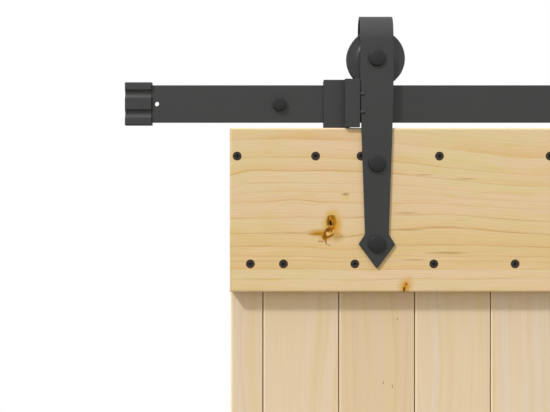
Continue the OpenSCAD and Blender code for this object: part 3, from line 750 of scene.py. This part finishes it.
def ledger_pine(name, top, front, board_h, seed, years, sways, marks):
    """Clear oiled pine with its grain along X."""
    material, tree, shader, where = new_material(name, Specular_IOR_Level=0.1)
    along, depth_y, across = split(tree, where)
    depth = minus(tree, depth_y, front)
    course = swayed(tree, along, across, sways)
    wobble = minus(tree, streaks(tree, (along, course, seed), (16.0, 60.0, 1.0)), 0.5)
    below = calc(tree, "MULTIPLY_ADD", wobble, wobble_reach, minus(tree, top, course))
    count = count_years(tree, below, depth, board_h, years)
    share = calc(tree, "FRACT", count)
    year = calc(tree, "FLOOR", count)
    line_dark, late_warm, tone_deep = year_looks(tree, count, years)
    fibre = use_group(tree, fibre_group, Along=along, Across=course, Depth=depth)

    patch = streaks(tree, (along, course, seed), (7.0, 30.0, 1.0))
    colour = tint(tree, ease(tree, patch, 0.35, 0.65), pale_pink, pale_straw)
    colour = tint(tree, tone_deep, colour, honey)
    for drift, stain in ((5.0, greenish), (9.0, rosy)):
        mottle = streaks(tree, (along, course, seed + drift), (22.0, 130.0, 1.0))
        colour = tint(tree, ease(tree, mottle, 0.5, 0.75, 0.0, 0.5), colour, stain)
    fade = streaks(tree, (along, year, seed), (5.0, 1.0, 1.0), 1.3)
    swell = times(tree, calc(tree, "POWER", share, 2.2), ease(tree, fade, 0.3, 0.65, 0.15, 0.9))
    colour = tint(tree, times(tree, swell, late_warm), colour, deep_honey)
    broken = streaks(tree, (along, year, seed + 3.0), (17.0, 1.0, 1.0), 1.3)
    line = times(tree, ease(tree, share, 0.84, 0.94), ease(tree, share, 0.95, 1.0, 1.0, 0.0))
    line = times(tree, line, ease(tree, broken, 0.35, 0.65, 0.25, 0.85))
    line = times(tree, line, line_dark)
    colour = tint(tree, line, colour, late_brown)
    colour = tint(tree, times(tree, fibre["Fleck"], 0.2), colour, fleck_brown)
    colour = tint(tree, times(tree, fibre["Fibre"], 0.1), colour, fibre_brown)
    # Painted highlight along the eased top edge where the key light catches it, weaker towards the back of
    # the top face
    painted_top_highlight = ease(tree, minus(tree, top, across), painted_highlight_reach / 4, painted_highlight_reach, 0.4, 0.0)
    painted_top_highlight = times(tree, painted_top_highlight, ease(tree, depth, 0.004, 0.012, 1.0, 0.25))
    colour = tint(tree, painted_top_highlight, colour, painted_highlight_pale)
    for x, z, half_x, half_z, lean, ragged, soft, paint, amount in marks:
        spot = use_group(tree, mark_group, Along=along, Across=across, Mid_along=x, Mid_across=z,
                         Half_along=half_x, Half_across=half_z, Lean=lean, Ragged=ragged)
        cover = ease(tree, spot["Distance"], 1.0 - soft, 1.0 + 0.15 * soft, amount, 0.0)
        colour = tint(tree, cover, colour, paint)
    oiled(tree, shader, colour, fibre, line, 0.7)
    return material


def moved(marks, x, z, size=1.0):
    """Marks set out in millimetres about a knot's heart, put at a place on the board."""
    unit = size / 1000
    return [(x + m[0] * unit, z + m[1] * unit, m[2] * unit, m[3] * unit) + m[4:] for m in marks]


# A knot's marks, each laid over those before: across, up, half width, half height, lean, ragged, soft,
# colour and amount. The large one is a broken out branch: a soft glow, an amber body with a torn dark
# rim and a black heart, a loop around a pale spot below it, a streak of resin to the left, and cracks
amber_halo = linear(206, 158, 70)
resin = linear(112, 66, 0)
heart = linear(26, 17, 10)
cream = linear(228, 186, 114)
crack = linear(116, 74, 24)
branch_knot = [
    (1.0, -1.6, 13.0, 20.0, 0.1, 0.2, 1.0, linear(202, 160, 50), 0.85),
    (0.2, 9.6, 6.4, 4.6, 0.0, 0.2, 1.0, linear(204, 172, 74), 0.75),
    (5.2, -3.4, 7.4, 12.0, 0.0, 0.2, 1.0, linear(206, 148, 48), 0.8),
    (6.2, -14.2, 9.0, 7.0, 0.0, 0.2, 1.0, linear(178, 138, 62), 0.75),
    (-4.8, -12.0, 8.6, 9.4, 0.3, 0.2, 1.0, linear(190, 130, 0), 0.95),
    (-13.0, -10.2, 15.0, 5.0, 0.0, 0.2, 1.0, linear(188, 134, 24), 0.9),
    (-14.2, -11.5, 11.0, 1.9, 0.0, 0.3, 0.8, linear(166, 116, 4), 0.95),
    (0.6, 1.1, 6.2, 8.4, 0.08, 0.4, 0.6, linear(186, 126, 18), 0.95),
    (-4.6, 1.6, 2.0, 6.4, 0.0, 0.4, 0.9, linear(176, 136, 34), 0.8),
    (-2.8, 1.8, 1.6, 6.4, 0.0, 0.5, 0.5, resin, 0.9),
    (1.8, 5.0, 3.8, 2.6, 0.0, 0.5, 0.5, linear(140, 90, 0), 0.9),
    (0.4, 7.4, 4.0, 1.6, 0.0, 0.5, 0.6, linear(146, 84, 6), 0.85),
    (3.6, 1.6, 2.4, 6.6, 0.0, 0.4, 0.7, linear(166, 108, 4), 0.85),
    (-0.2, 4.4, 1.8, 1.6, 0.0, 0.3, 0.9, linear(184, 136, 30), 0.7),
    (0.6, -5.2, 4.6, 4.0, 0.0, 0.4, 0.6, linear(166, 100, 0), 0.95),
    (0.2, -3.0, 1.9, 1.3, 0.0, 0.3, 0.6, cream, 0.8),
    (-4.8, -8.9, 3.0, 6.0, 0.5, 0.4, 0.6, resin, 0.95),
    (-2.4, -7.8, 2.0, 2.0, 0.0, 0.4, 0.7, resin, 0.9),
    (-6.4, -14.8, 3.8, 3.6, 0.0, 0.5, 0.5, linear(130, 78, 0), 0.95),
    (-6.0, -17.6, 2.6, 2.6, 0.0, 0.4, 0.9, linear(160, 104, 2), 0.8),
    (-0.2, -13.4, 2.2, 3.2, 1.29, 0.3, 0.6, resin, 0.95),
    (0.4, -7.4, 1.8, 2.8, 0.0, 0.3, 0.6, linear(138, 82, 0), 0.95),
    (-3.6, -11.1, 2.3, 2.6, 0.0, 0.3, 0.6, cream, 0.9),
    (-0.7, -11.5, 2.0, 1.0, 0.9, 0.3, 0.7, cream, 0.7),
    (2.4, -8.0, 1.3, 1.8, 0.0, 0.3, 0.8, linear(220, 162, 96), 0.8),
    (2.0, -0.7, 1.2, 2.6, 0.0, 0.3, 0.8, linear(84, 70, 12), 0.8),
    (-0.3, 0.0, 1.8, 4.1, -0.1, 0.3, 0.5, heart, 1.0),
    (-5.2, -20.4, 1.0, 3.2, 0.0, 0.2, 0.8, crack, 0.8),
    (-11.1, -19.3, 4.4, 1.0, 0.0, 0.2, 0.8, crack, 0.65),
    (-2.2, -23.2, 1.6, 1.7, -2.0, 0.2, 0.8, crack, 0.55),
    (11.2, -13.7, 2.4, 1.1, 0.0, 0.2, 0.9, crack, 0.4),
]
small_knot = [
    (0.8, 1.6, 10.0, 12.0, 0.2, 0.2, 1.0, amber_halo, 0.95),
    (0.0, -0.8, 4.4, 6.4, 0.25, 0.4, 0.9, linear(198, 138, 34), 0.9),
    (-0.8, -2.8, 1.6, 4.4, 0.1, 0.4, 0.7, resin, 0.85),
    (-0.8, -2.6, 0.9, 3.2, 0.1, 0.3, 0.7, heart, 0.7),
    (1.3, 2.8, 2.2, 2.2, 0.0, 0.3, 0.8, linear(140, 76, 10), 0.9),
    (3.2, -2.0, 1.4, 3.0, 0.0, 0.3, 0.9, linear(190, 146, 46), 0.6),
]
resin_dash = [
    (0.0, -3.4, 4.6, 4.4, 0.0, 0.3, 1.0, linear(212, 188, 118), 0.8),
    (-0.4, 0.1, 5.6, 1.9, 0.0, 0.2, 0.9, linear(142, 116, 66), 0.7),
]
dark_streak = [
    (0.0, 0.0, 17.0, 1.0, 0.0, 0.2, 1.0, linear(150, 112, 62), 0.6),
]

# The top ledger's years: end of the growth below the board's top, line, late wood, tone
top_years = [
    (0.0127, 0.12, 0.9, 0.0), (0.0317, 0.22, 0.5, 0.0), (0.0455, 0.38, 0.6, 0.1),
    (0.0581, 0.36, 0.3, 0.0), (0.0680, 0.22, 0.3, 0.0), (0.0800, 0.3, 0.55, 0.05),
    (0.0962, 0.5, 0.5, 0.05), (0.1121, 0.6, 0.6, 0.1), (0.1258, 0.4, 0.5, 0.45),
    (0.1364, 0.35, 0.45, 0.5), (0.1419, 0.35, 0.4, 0.45), (0.1501, 0.25, 0.6, 0.5),
    (0.1607, 0.42, 0.15, 0.0), (0.1720, 0.25, 0.25, 0.0),
]
# Where the grain bends: x, z, reach along, reach across and lift
top_sways = [
    (-0.895, -0.078, 0.018, 0.028, -0.0065), (-0.560, -0.066, 0.130, 0.050, -0.0200),
    (-0.660, -0.126, 0.075, 0.022, 0.0080), (-0.822, -0.104, 0.020, 0.010, 0.0035),
    (-0.772, -0.148, 0.030, 0.016, -0.0050),
]
top_marks = moved(branch_knot, -0.7833, -0.1268) + moved(small_knot, -0.7051, -0.1941)
top_marks += moved(resin_dash, -0.7674, -0.0963) + moved(small_knot, -0.3120, -0.1010, 1.3)
# Short dark streaks of late wood: x, z and size
top_streaks = (
    (-0.7040, -0.1160, 1.0), (-0.7010, -0.1340, 1.1), (-0.6600, -0.1582, 1.6), (-0.6950, -0.1656, 1.0),
    (-0.6850, -0.0757, 0.8), (-0.6400, -0.0800, 0.9),
)
for x, z, size in top_streaks:
    top_marks += moved(dark_streak, x, z, size)
first_year = 0.006
last_year = 0.003
year_widths = (0.007, 0.017)
year_lines = (0.2, 0.8)
year_lates = (0.2, 0.7)
year_tones = (0.0, 0.0, 0.2, 0.45)
knot_half = 0.016
knot_span = 0.03
knot_lift = 0.005


def drawn_years(seed, board_h):
    """Years of a board that is not matched to another: widths and looks by chance."""
    chance = random.Random(seed)
    years = []
    below = first_year
    while below < board_h - last_year:
        looks = (chance.uniform(*year_lines), chance.uniform(*year_lates), chance.choice(year_tones))
        years.append((below,) + looks)
        below += chance.uniform(*year_widths)
    return years


def around(x, z):
    """Sways that lead the grain past a knot, above and below it."""
    return [(x, z + way * knot_half, knot_span, knot_half, way * knot_lift) for way in (1, -1)]


# Screws are set out from each plank's outer seam, one in the upper and one in the lower row
upper_offsets = (0.008, 0.056, 0.022, 0.023, 0.058, 0.024)
lower_offsets = (0.022, 0.022, 0.0155, 0.017, 0.021, 0.060)
screw_row = 0.030
screw_head_r = 0.00475
screw_body_r = 0.0022
screw_cone = screw_head_r - screw_body_r
screw_recess = 0.0003
screw_slip = 0.0001
ledger_ease = 0.0025
strap_bolt_hole = 0.00425
sleeve_reach = 0.0021
before_face = -0.002
past_back = 0.022
seams = [door_low.x] + [first_seam + plank_cover * k for k in range(5)]
top_low, top_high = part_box("ledger_top")
ledger_h = top_high.z - top_low.z
ledger_woods = {
    "top": (2.6, top_years, top_sways, top_marks),
    "middle": (14.2, drawn_years(4, ledger_h), around(-0.590, -1.110) + around(-0.190, -1.030),
               moved(branch_knot, -0.590, -1.110, 0.8) + moved(small_knot, -0.190, -1.030, 1.5)),
    "bottom": (31.7, drawn_years(9, ledger_h), around(-0.730, -2.010) + around(-0.300, -2.070),
               moved(small_knot, -0.730, -2.010, 1.6) + moved(small_knot, -0.300, -2.070, 1.2)),
}
screw_places = {}
for level, (seed, years, sways, marks) in ledger_woods.items():
    name = "ledger_" + level
    low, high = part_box(name)
    face = low.y
    mesh = bmesh.new()
    block(mesh, low, high)
    soften(mesh, ledger_ease, 5, lambda e: all(abs(v.co.y - face) < 1e-6 for v in e.verts))
    wood = ledger_pine("pine_" + level, high.z, face, ledger_h, seed, years, sways, marks)
    ledger = piece(name, mesh, wood, "door")
    places = []
    for offsets, z in ((upper_offsets, high.z - screw_row), (lower_offsets, low.z + screw_row)):
        half = [edge + offset for edge, offset in zip(seams, offsets)]
        places += [(x, face, z) for x in half + [low.x + high.x - x for x in half]]
    screw_places[level] = places
    mesh = bmesh.new()
    head_r = screw_head_r + screw_slip
    body_r = screw_body_r + screw_slip
    for place in places:
        lathe(mesh, [(0, before_face), (head_r, before_face), (head_r, screw_recess),
                     (body_r, screw_recess + screw_cone), (body_r, past_back), (0, past_back)], place, 40)
    if level == "top":
        seat = high.y - face - sleeve_reach
        for place in [(x, face, z) for x in strap_xs.values() for z in strap_bolt_zs]:
            lathe(mesh, [(0, before_face), (strap_bolt_hole, before_face), (strap_bolt_hole, seat),
                         (sleeve_hole, seat), (sleeve_hole, past_back), (0, past_back)], place, 40)
    carve(ledger, mesh)
    shade(ledger)

# Wood screws
# Blacked countersunk screws with a cross recess, driven just below the ledgers' faces, one in
# each plank in an upper and a lower row.

screw_len = 0.035
screw_point = 0.006
screw_rim = 0.0003
screw_rim_deep = 0.0002
screw_turn = 37
cross_w = 0.0018
cross_span = 0.006
cross_deep = 0.0024
cross_above = 0.001
cross_foot_span = 0.45
cross_foot_w = 0.8
# The heads' own near black colour carries a brown tinge that is a painted reflection of the wood around them
head_dark_and_reflection = linear(57, 50, 43)
head_light_and_reflection = linear(63, 56, 49)
# Colour of the painted shade in the cross recess
recess_painted_shade = linear(46, 46, 52)
phosphate, tree, shader, where = new_material("black_phosphate", Roughness=0.5, Specular_IOR_Level=0.2)
coat = use_group(tree, coat_group, Place=where, Grain_size=0.0005)
# Painted shade: the cross recess below the head's face is darker, where shade falls in it
sunk = minus(tree, split(tree, where)["Y"], top_low.y + screw_recess)
head_and_reflection = tint(tree, coat["Cloud"], head_dark_and_reflection, head_light_and_reflection)
put(tree, shader.inputs["Base Color"], tint(tree, ease(tree, sunk, 0.0001, 0.0006), head_and_reflection, recess_painted_shade))
mesh = bmesh.new()
lathe(mesh, [(0, screw_recess), (screw_head_r - screw_rim, screw_recess),
             (screw_head_r, screw_recess + screw_rim_deep), (screw_body_r, screw_recess + screw_cone),
             (screw_body_r, screw_len - screw_point), (0, screw_len)], (0, 0, 0), 48)
pattern = solid("screw_pattern", mesh, phosphate)
for turned in (False, True):
    mesh = bmesh.new()
    made = block(mesh, (-cross_span / 2, screw_recess - cross_above, -cross_w / 2),
                 (cross_span / 2, screw_recess + cross_deep, cross_w / 2))
    for vert in made:
        if vert.co.y > screw_recess:
            vert.co.x *= cross_foot_span
            vert.co.z *= cross_foot_w
        if turned:
            vert.co = Vector((vert.co.z, vert.co.y, vert.co.x))
    carve(pattern, mesh)
for level, places in screw_places.items():
    mesh = bmesh.new()
    for number, place in enumerate(places):
        before = len(mesh.verts)
        mesh.from_mesh(pattern.data)
        mesh.verts.ensure_lookup_table()
        spin = Matrix.Rotation(math.radians(screw_turn * number % 90), 4, "Y")
        bmesh.ops.transform(mesh, matrix=Matrix.Translation(place) @ spin, verts=mesh.verts[before:])
    shade(piece("screws_" + level, mesh, phosphate, "door"))
bpy.data.objects.remove(pattern)

# Strap hangers
# Flat steel cut to an arrow outline, drilled, and bent hot over a former to a short back leg
# with a round end, then powder coated like the rail.

strap_t = 0.003
strap_half = 0.0175
neck_half = 0.0125
arrow_half = 0.01925
taper_z = 0.007
neck_z = -0.1385
arrow_z = -0.149
strap_tip = -0.175
strap_corner = 0.0016
strap_edge = 0.0004
arch_half = 0.016
arch_h = 0.027
flank_r = 0.050
bend_steps = 36
axle_hole = 0.00505
axle_drill = 0.04
bolt_drill = -0.03
strap_low, strap_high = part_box("strap_left")
bend_z = strap_high.z - arch_h
flank_y = flank_r - arch_half
crown_z = (flank_y ** 2 - (flank_r - arch_h) ** 2) / (2 * (flank_r - arch_h))
crown_r = arch_h - crown_z
flank_turn = math.atan2(crown_z, flank_y)
flank_length = (flank_r - strap_t / 2) * flank_turn
crown_length = (crown_r - strap_t / 2) * (math.pi - 2 * flank_turn)
bend_length = 2 * flank_length + crown_length
axle_low, axle_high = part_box("axle_bolt_left")
axle_z = (axle_low.z + axle_high.z) / 2
back_centre = bend_z + bend_length + (bend_z - axle_z)


def round_corners(points, radius, steps=5):
    """An outline with its corners rounded by short arcs."""
    made = []
    count = len(points)
    for k in range(count):
        before, here, after = (Vector(points[(k + d) % count]) for d in (-1, 0, 1))
        u = (before - here).normalized()
        v = (after - here).normalized()
        half = u.angle(v) / 2
        middle = here + (u + v).normalized() * radius / math.sin(half)
        a = here + u * radius / math.tan(half) - middle
        b = here + v * radius / math.tan(half) - middle
        made += [tuple(middle + a.lerp(b, s / steps).normalized() * radius) for s in range(steps + 1)]
    return made


def bent(flat):
    """Carries a point of the flat blank, across, along and deep, round the bend."""
    across, along, deep = flat
    way = 1 if along < bend_z + bend_length / 2 else -1
    gone = along - bend_z if way > 0 else bend_z + bend_length - along
    if gone <= 0:
        return Vector((across, rail_y - way * (arch_half - deep), bend_z + gone))
    if gone <= flank_length:
        turn = gone / (flank_r - strap_t / 2)
        out = (flank_r - deep) * math.cos(turn) - flank_y
        up = (flank_r - deep) * math.sin(turn)
    else:
        turn = flank_turn + (gone - flank_length) / (crown_r - strap_t / 2)
        out = (crown_r - deep) * math.cos(turn)
        up = crown_z + (crown_r - deep) * math.sin(turn)
    return Vector((across, rail_y - way * out, bend_z + up))


# The arrow's outline is closed above the taper to round its corners, and opened there again
closed_z = taper_z + 0.02
open_z = taper_z + 0.01
arrow = round_corners([(-strap_half, taper_z), (-neck_half, neck_z), (-arrow_half, arrow_z), (0, strap_tip),
                       (arrow_half, arrow_z), (neck_half, neck_z), (strap_half, taper_z),
                       (strap_half, closed_z), (-strap_half, closed_z)], strap_corner)
blank = [p for p in arrow if p[1] < open_z] + arc(0, back_centre, strap_half, 0, 180, 24)
bend_cuts = [bend_length * k / bend_steps for k in range(bend_steps + 1)]
bend_cuts += [flank_length, flank_length + crown_length]
for side, x in strap_xs.items():
    mesh = bmesh.new()
    prism(mesh, blank, 0.0, strap_t, lambda p, deep: Vector((p[0], p[1], deep)))
    bmesh.ops.recalc_face_normals(mesh, faces=mesh.faces)
    soften(mesh, strap_edge, 3, lambda e: abs(e.verts[0].co.z - e.verts[1].co.z) < 1e-7)
    for cut in bend_cuts:
        bmesh.ops.bisect_plane(mesh, geom=mesh.verts[:] + mesh.edges[:] + mesh.faces[:],
                               plane_co=(0, bend_z + cut, 0), plane_no=(0, 1, 0))
    for vert in mesh.verts:
        vert.co = bent(vert.co) + Vector((x, 0, 0))
    strap = piece("strap_" + side, mesh, powder_coat, "door")
    mesh = bmesh.new()
    bore(mesh, axle_hole, -axle_drill, axle_drill, (x, rail_y, axle_z))
    for z in strap_bolt_zs:
        bore(mesh, strap_bolt_hole, bolt_drill, 0, (x, rail_y, z))
    carve(strap, mesh)
    shade(strap)

# Bumpers
# Small rubber plugs, slotted and pushed on to each strap's outer edge where it meets a stop.

bumper_zs = (-0.0096, 0.0096)
bumper_round = 0.0006
bumper_grip = 0.0043
bumper_slot = 0.006
bumper_gap = 0.00015
bumper_slip = 0.00002
bumper_half_slot = 0.004


def strap_reach(z):
    """Half the strap's width at a height, along its taper."""
    return strap_half - max(0.0, taper_z - z) / (taper_z - neck_z) * (strap_half - neck_half)


for side, x in strap_xs.items():
    name = "bumpers_" + side
    way = -inward[side]
    low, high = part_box(name)
    radius = (high.y - low.y) / 2
    nose = low.x if way < 0 else high.x
    rim = arc(radius - bumper_round, bumper_round, bumper_round, -90, 0, 4)
    mesh = bmesh.new()
    slots = bmesh.new()
    for z in bumper_zs:
        end = x + way * (strap_reach(z) - bumper_grip)
        profile = [(0, nose)] + [(r, nose - way * d) for r, d in rim]
        profile += [(r, end + way * d) for r, d in reversed(rim)] + [(0, end)]
        lathe(mesh, profile, (0, strap_low.y + strap_t / 2, z), 40, "X")
        slot_start = x + way * (strap_reach(z) + bumper_gap)
        slot_end = slot_start - way * bumper_slot
        block(slots, (min(slot_start, slot_end), strap_low.y - bumper_slip, z - bumper_half_slot),
              (max(slot_start, slot_end), strap_low.y + strap_t + bumper_slip, z + bumper_half_slot))
    plugs = piece(name, mesh, rubber, "door")
    carve(plugs, slots)
    shade(plugs)

# Bolts of the hangers
# Low domed heads, blacked and a little darker than the coat: one axle bolt through both legs of each
# strap with a hexagon nut behind, and two bolts through strap and door into flanged sleeve nuts.

dome_rise = 0.0008
dome_round = 0.0012
axle_shank = 0.005
axle_chamfer = 0.0012
strap_shank = 0.004
strap_chamfer = 0.0006
nut_flats = 0.016
nut_height = 0.006
nut_bore = 0.00505
dome_r = (axle_high.x - axle_low.x) / 2


def dome_bolt(mesh, centre, seat, front, shank, end, chamfer):
    """A bolt along Y with a low domed head, from the crown to the end of its shank."""
    sphere = (dome_r ** 2 + dome_rise ** 2) / (2 * dome_rise)
    spread = math.degrees(math.asin((dome_r - dome_round) / sphere))
    crown = arc(0, front + sphere, sphere, -90, spread - 90, 10)
    rim = arc(dome_r - dome_round, crown[-1][1] + dome_round, dome_round, -90, 0, 6)
    shank_side = [(dome_r, seat), (shank, seat), (shank, end - chamfer), (shank - chamfer, end), (0, end)]
    lathe(mesh, crown + rim[1:] + shank_side, centre)


for side, x in strap_xs.items():
    low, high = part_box("axle_bolt_" + side)
    mesh = bmesh.new()
    dome_bolt(mesh, (x, 0, axle_z), strap_low.y, low.y, axle_shank, high.y, axle_chamfer)
    shade(piece("axle_bolt_" + side, mesh, blacked, "door"))
    low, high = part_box("strap_bolts_" + side)
    mesh = bmesh.new()
    for z in strap_bolt_zs:
        dome_bolt(mesh, (x, 0, z), strap_low.y, low.y, strap_shank, high.y, strap_chamfer)
    shade(piece("strap_bolts_" + side, mesh, blacked, "door"))
    mesh = bmesh.new()
    hex_head(mesh, (x, 0, axle_z), nut_flats, strap_high.y, strap_high.y + nut_height, nut_bore)
    shade(piece("axle_nut_" + side, mesh, blacked, "door"))
    finish_node("sleeve_nuts_" + side, blacked)

# Rollers
# Moulded nylon wheels: a hub with a conical flank, two flanges and a groove that sits on the rail.
# They turn on shielded ball bearings, held midway between the strap's legs by two steel bushes.

nylon = coated("black_nylon", linear(36, 37, 38), linear(41, 42, 43), 0.0022, 0.3, 0.4, 0.000012)
steel_grey = linear(168, 168, 170)
steel_bright = linear(196, 196, 198)
ground_steel, tree, shader, where = new_material("ground_bearing_steel", Metallic=1.0)
scratch = streaks(tree, split(tree, where), (60.0, 2600.0, 60.0), 1.0, 3.0)
put(tree, shader.inputs["Base Color"], tint(tree, scratch, steel_grey, steel_bright))
put(tree, shader.inputs["Roughness"], ease(tree, scratch, 0.3, 0.7, 0.22, 0.38))

tread_r = 0.02775
flange_r = 0.03075
flange_lip = 0.0002
hub_half = 0.010
hub_r = 0.0196
hub_edge = 0.0006
hub_edge_deep = 0.0003
cone_r = 0.0228
rim_half = 0.008
rim_round = 0.0007
groove_root = 0.00375
groove_top = 0.00475
seat_r = 0.01302
seat_half = 0.004
shoulder_r = 0.0105
front_half = [(hub_r - hub_edge, -hub_half), (hub_r, -hub_half + hub_edge_deep), (cone_r, -rim_half)]
front_half += arc(flange_r - rim_round, -rim_half + rim_round, rim_round, -90, 0, 5)
front_half += [(flange_r - flange_lip, -groove_top), (tread_r, -groove_root)]
back_half = [(r, -y) for r, y in reversed(front_half)]
bearing_seat = [(shoulder_r, hub_half), (shoulder_r, seat_half), (seat_r, seat_half), (seat_r, -hub_half)]
for side, x in strap_xs.items():
    mesh = bmesh.new()
    lathe(mesh, [(seat_r, -hub_half)] + front_half + back_half + bearing_seat, (x, rail_y, axle_z), 128)
    weld(mesh)
    shade(piece("wheel_" + side, mesh, nylon, "wheel_" + side), 28)
    for name in ("bearing_outer_", "bearing_inner_", "bearing_balls_", "bush_front_", "bush_back_"):
        finish_node(name + side, ground_steel)

# Floor, light and camera
# A pale floor just below the door that fades out at its rim, a soft key from the upper left, and a
# surround that shows white and lights the door by its height in the sky.

floor_gap = 0.012
floor_size = 4.0
floor_seen = (0.8, 0.8, 0.8, 1.0)
floor_bounce = (0.36, 0.30, 0.21, 1.0)
floor_paint, tree, shader, where = new_material("pale_floor", Roughness=0.9)
rays = tree.nodes.new("ShaderNodeLightPath").outputs
put(tree, shader.inputs["Base Color"], tint(tree, rays["Is Camera Ray"], floor_bounce, floor_seen))
reach = tree.nodes.new("ShaderNodeVectorMath")
reach.operation = "LENGTH"
put(tree, reach.inputs[0], where)
floor_fade = ease(tree, reach.outputs["Value"], 0.5 * floor_size, 0.95 * floor_size, 1.0, 0.0)
put(tree, shader.inputs["Alpha"], floor_fade)
mesh = bmesh.new()
bmesh.ops.create_circle(mesh, cap_ends=True, segments=96, radius=floor_size)
floor = solid("floor", mesh, floor_paint)
floor.location = (0, 0, door_low.z - floor_gap)

key_way = Vector((0.85, 1.0, -1.21))
key_light = bpy.data.lights.new("key", "SUN")
key_light.energy = 2.0
key_light.angle = math.radians(6.5)
key = bpy.data.objects.new("key", key_light)
key.rotation_euler = key_way.to_track_quat("-Z", "Y").to_euler()
bpy.context.scene.collection.objects.link(key)

# The fill by height, from straight down at -1 to straight up at 1
fill_stops = (
    (-0.05, (0.34, 0.31, 0.26, 1.0)), (0.08, (1.25, 1.23, 1.16, 1.0)), (0.27, (1.25, 1.23, 1.16, 1.0)),
    (0.42, (0.70, 0.70, 0.68, 1.0)), (0.75, (0.60, 0.60, 0.60, 1.0)), (0.95, (2.0, 2.0, 2.0, 1.0)),
)
fill_behind = (0.95, 0.95, 0.95, 1.0)
sheen_low = 0.05
sheen_level = 1.0
sheen_high = 0.7
sheen_behind = 0.5
white = (1.0, 1.0, 1.0, 1.0)
world = bpy.data.worlds.new("surround")
bpy.context.scene.world = world
world.use_nodes = True
tree = world.node_tree
sky = split(tree, tree.nodes.new("ShaderNodeTexCoord").outputs["Generated"])
dome = tree.nodes.new("ShaderNodeValToRGB")
stops = dome.color_ramp.elements
stops.remove(stops[1])
for number, (height, light) in enumerate(fill_stops):
    stop = stops[0] if number == 0 else stops.new(0.5 + height / 2)
    stop.position = 0.5 + height / 2
    stop.color = light
put(tree, dome.inputs[0], calc(tree, "MULTIPLY_ADD", sky["Z"], 0.5, 0.5))
fill = tint(tree, ease(tree, sky["Y"], 0.0, 0.6), dome.outputs[0], fill_behind)
sheen = calc(tree, "ADD", ease(tree, sky["Z"], -0.7, 0.2, sheen_low, sheen_level),
             ease(tree, sky["Z"], 0.25, 0.65, 0.0, sheen_high))
sheen = times(tree, sheen, ease(tree, sky["Y"], -0.2, 0.7, 1.0, sheen_behind))
rays = tree.nodes.new("ShaderNodeLightPath").outputs
mirrored = calc(tree, "MAXIMUM", rays["Is Glossy Ray"], rays["Is Transmission Ray"])
lit = tint(tree, mirrored, fill, sheen)
put(tree, tree.nodes["Background"].inputs["Color"], tint(tree, rays["Is Camera Ray"], lit, white))

camera_data = bpy.data.cameras.new("camera")
camera_data.lens = 56.03
camera_data.sensor_width = 36.0
camera_data.shift_y = -0.07
camera_data.clip_start = 0.01
camera_data.clip_end = 50.0
camera = bpy.data.objects.new("camera", camera_data)
camera.location = (-0.8425, -0.953, -0.068)
camera.rotation_euler = (math.radians(90), 0, 0)
bpy.context.scene.collection.objects.link(camera)
bpy.context.scene.camera = camera
bpy.context.scene.view_settings.view_transform = "Standard"
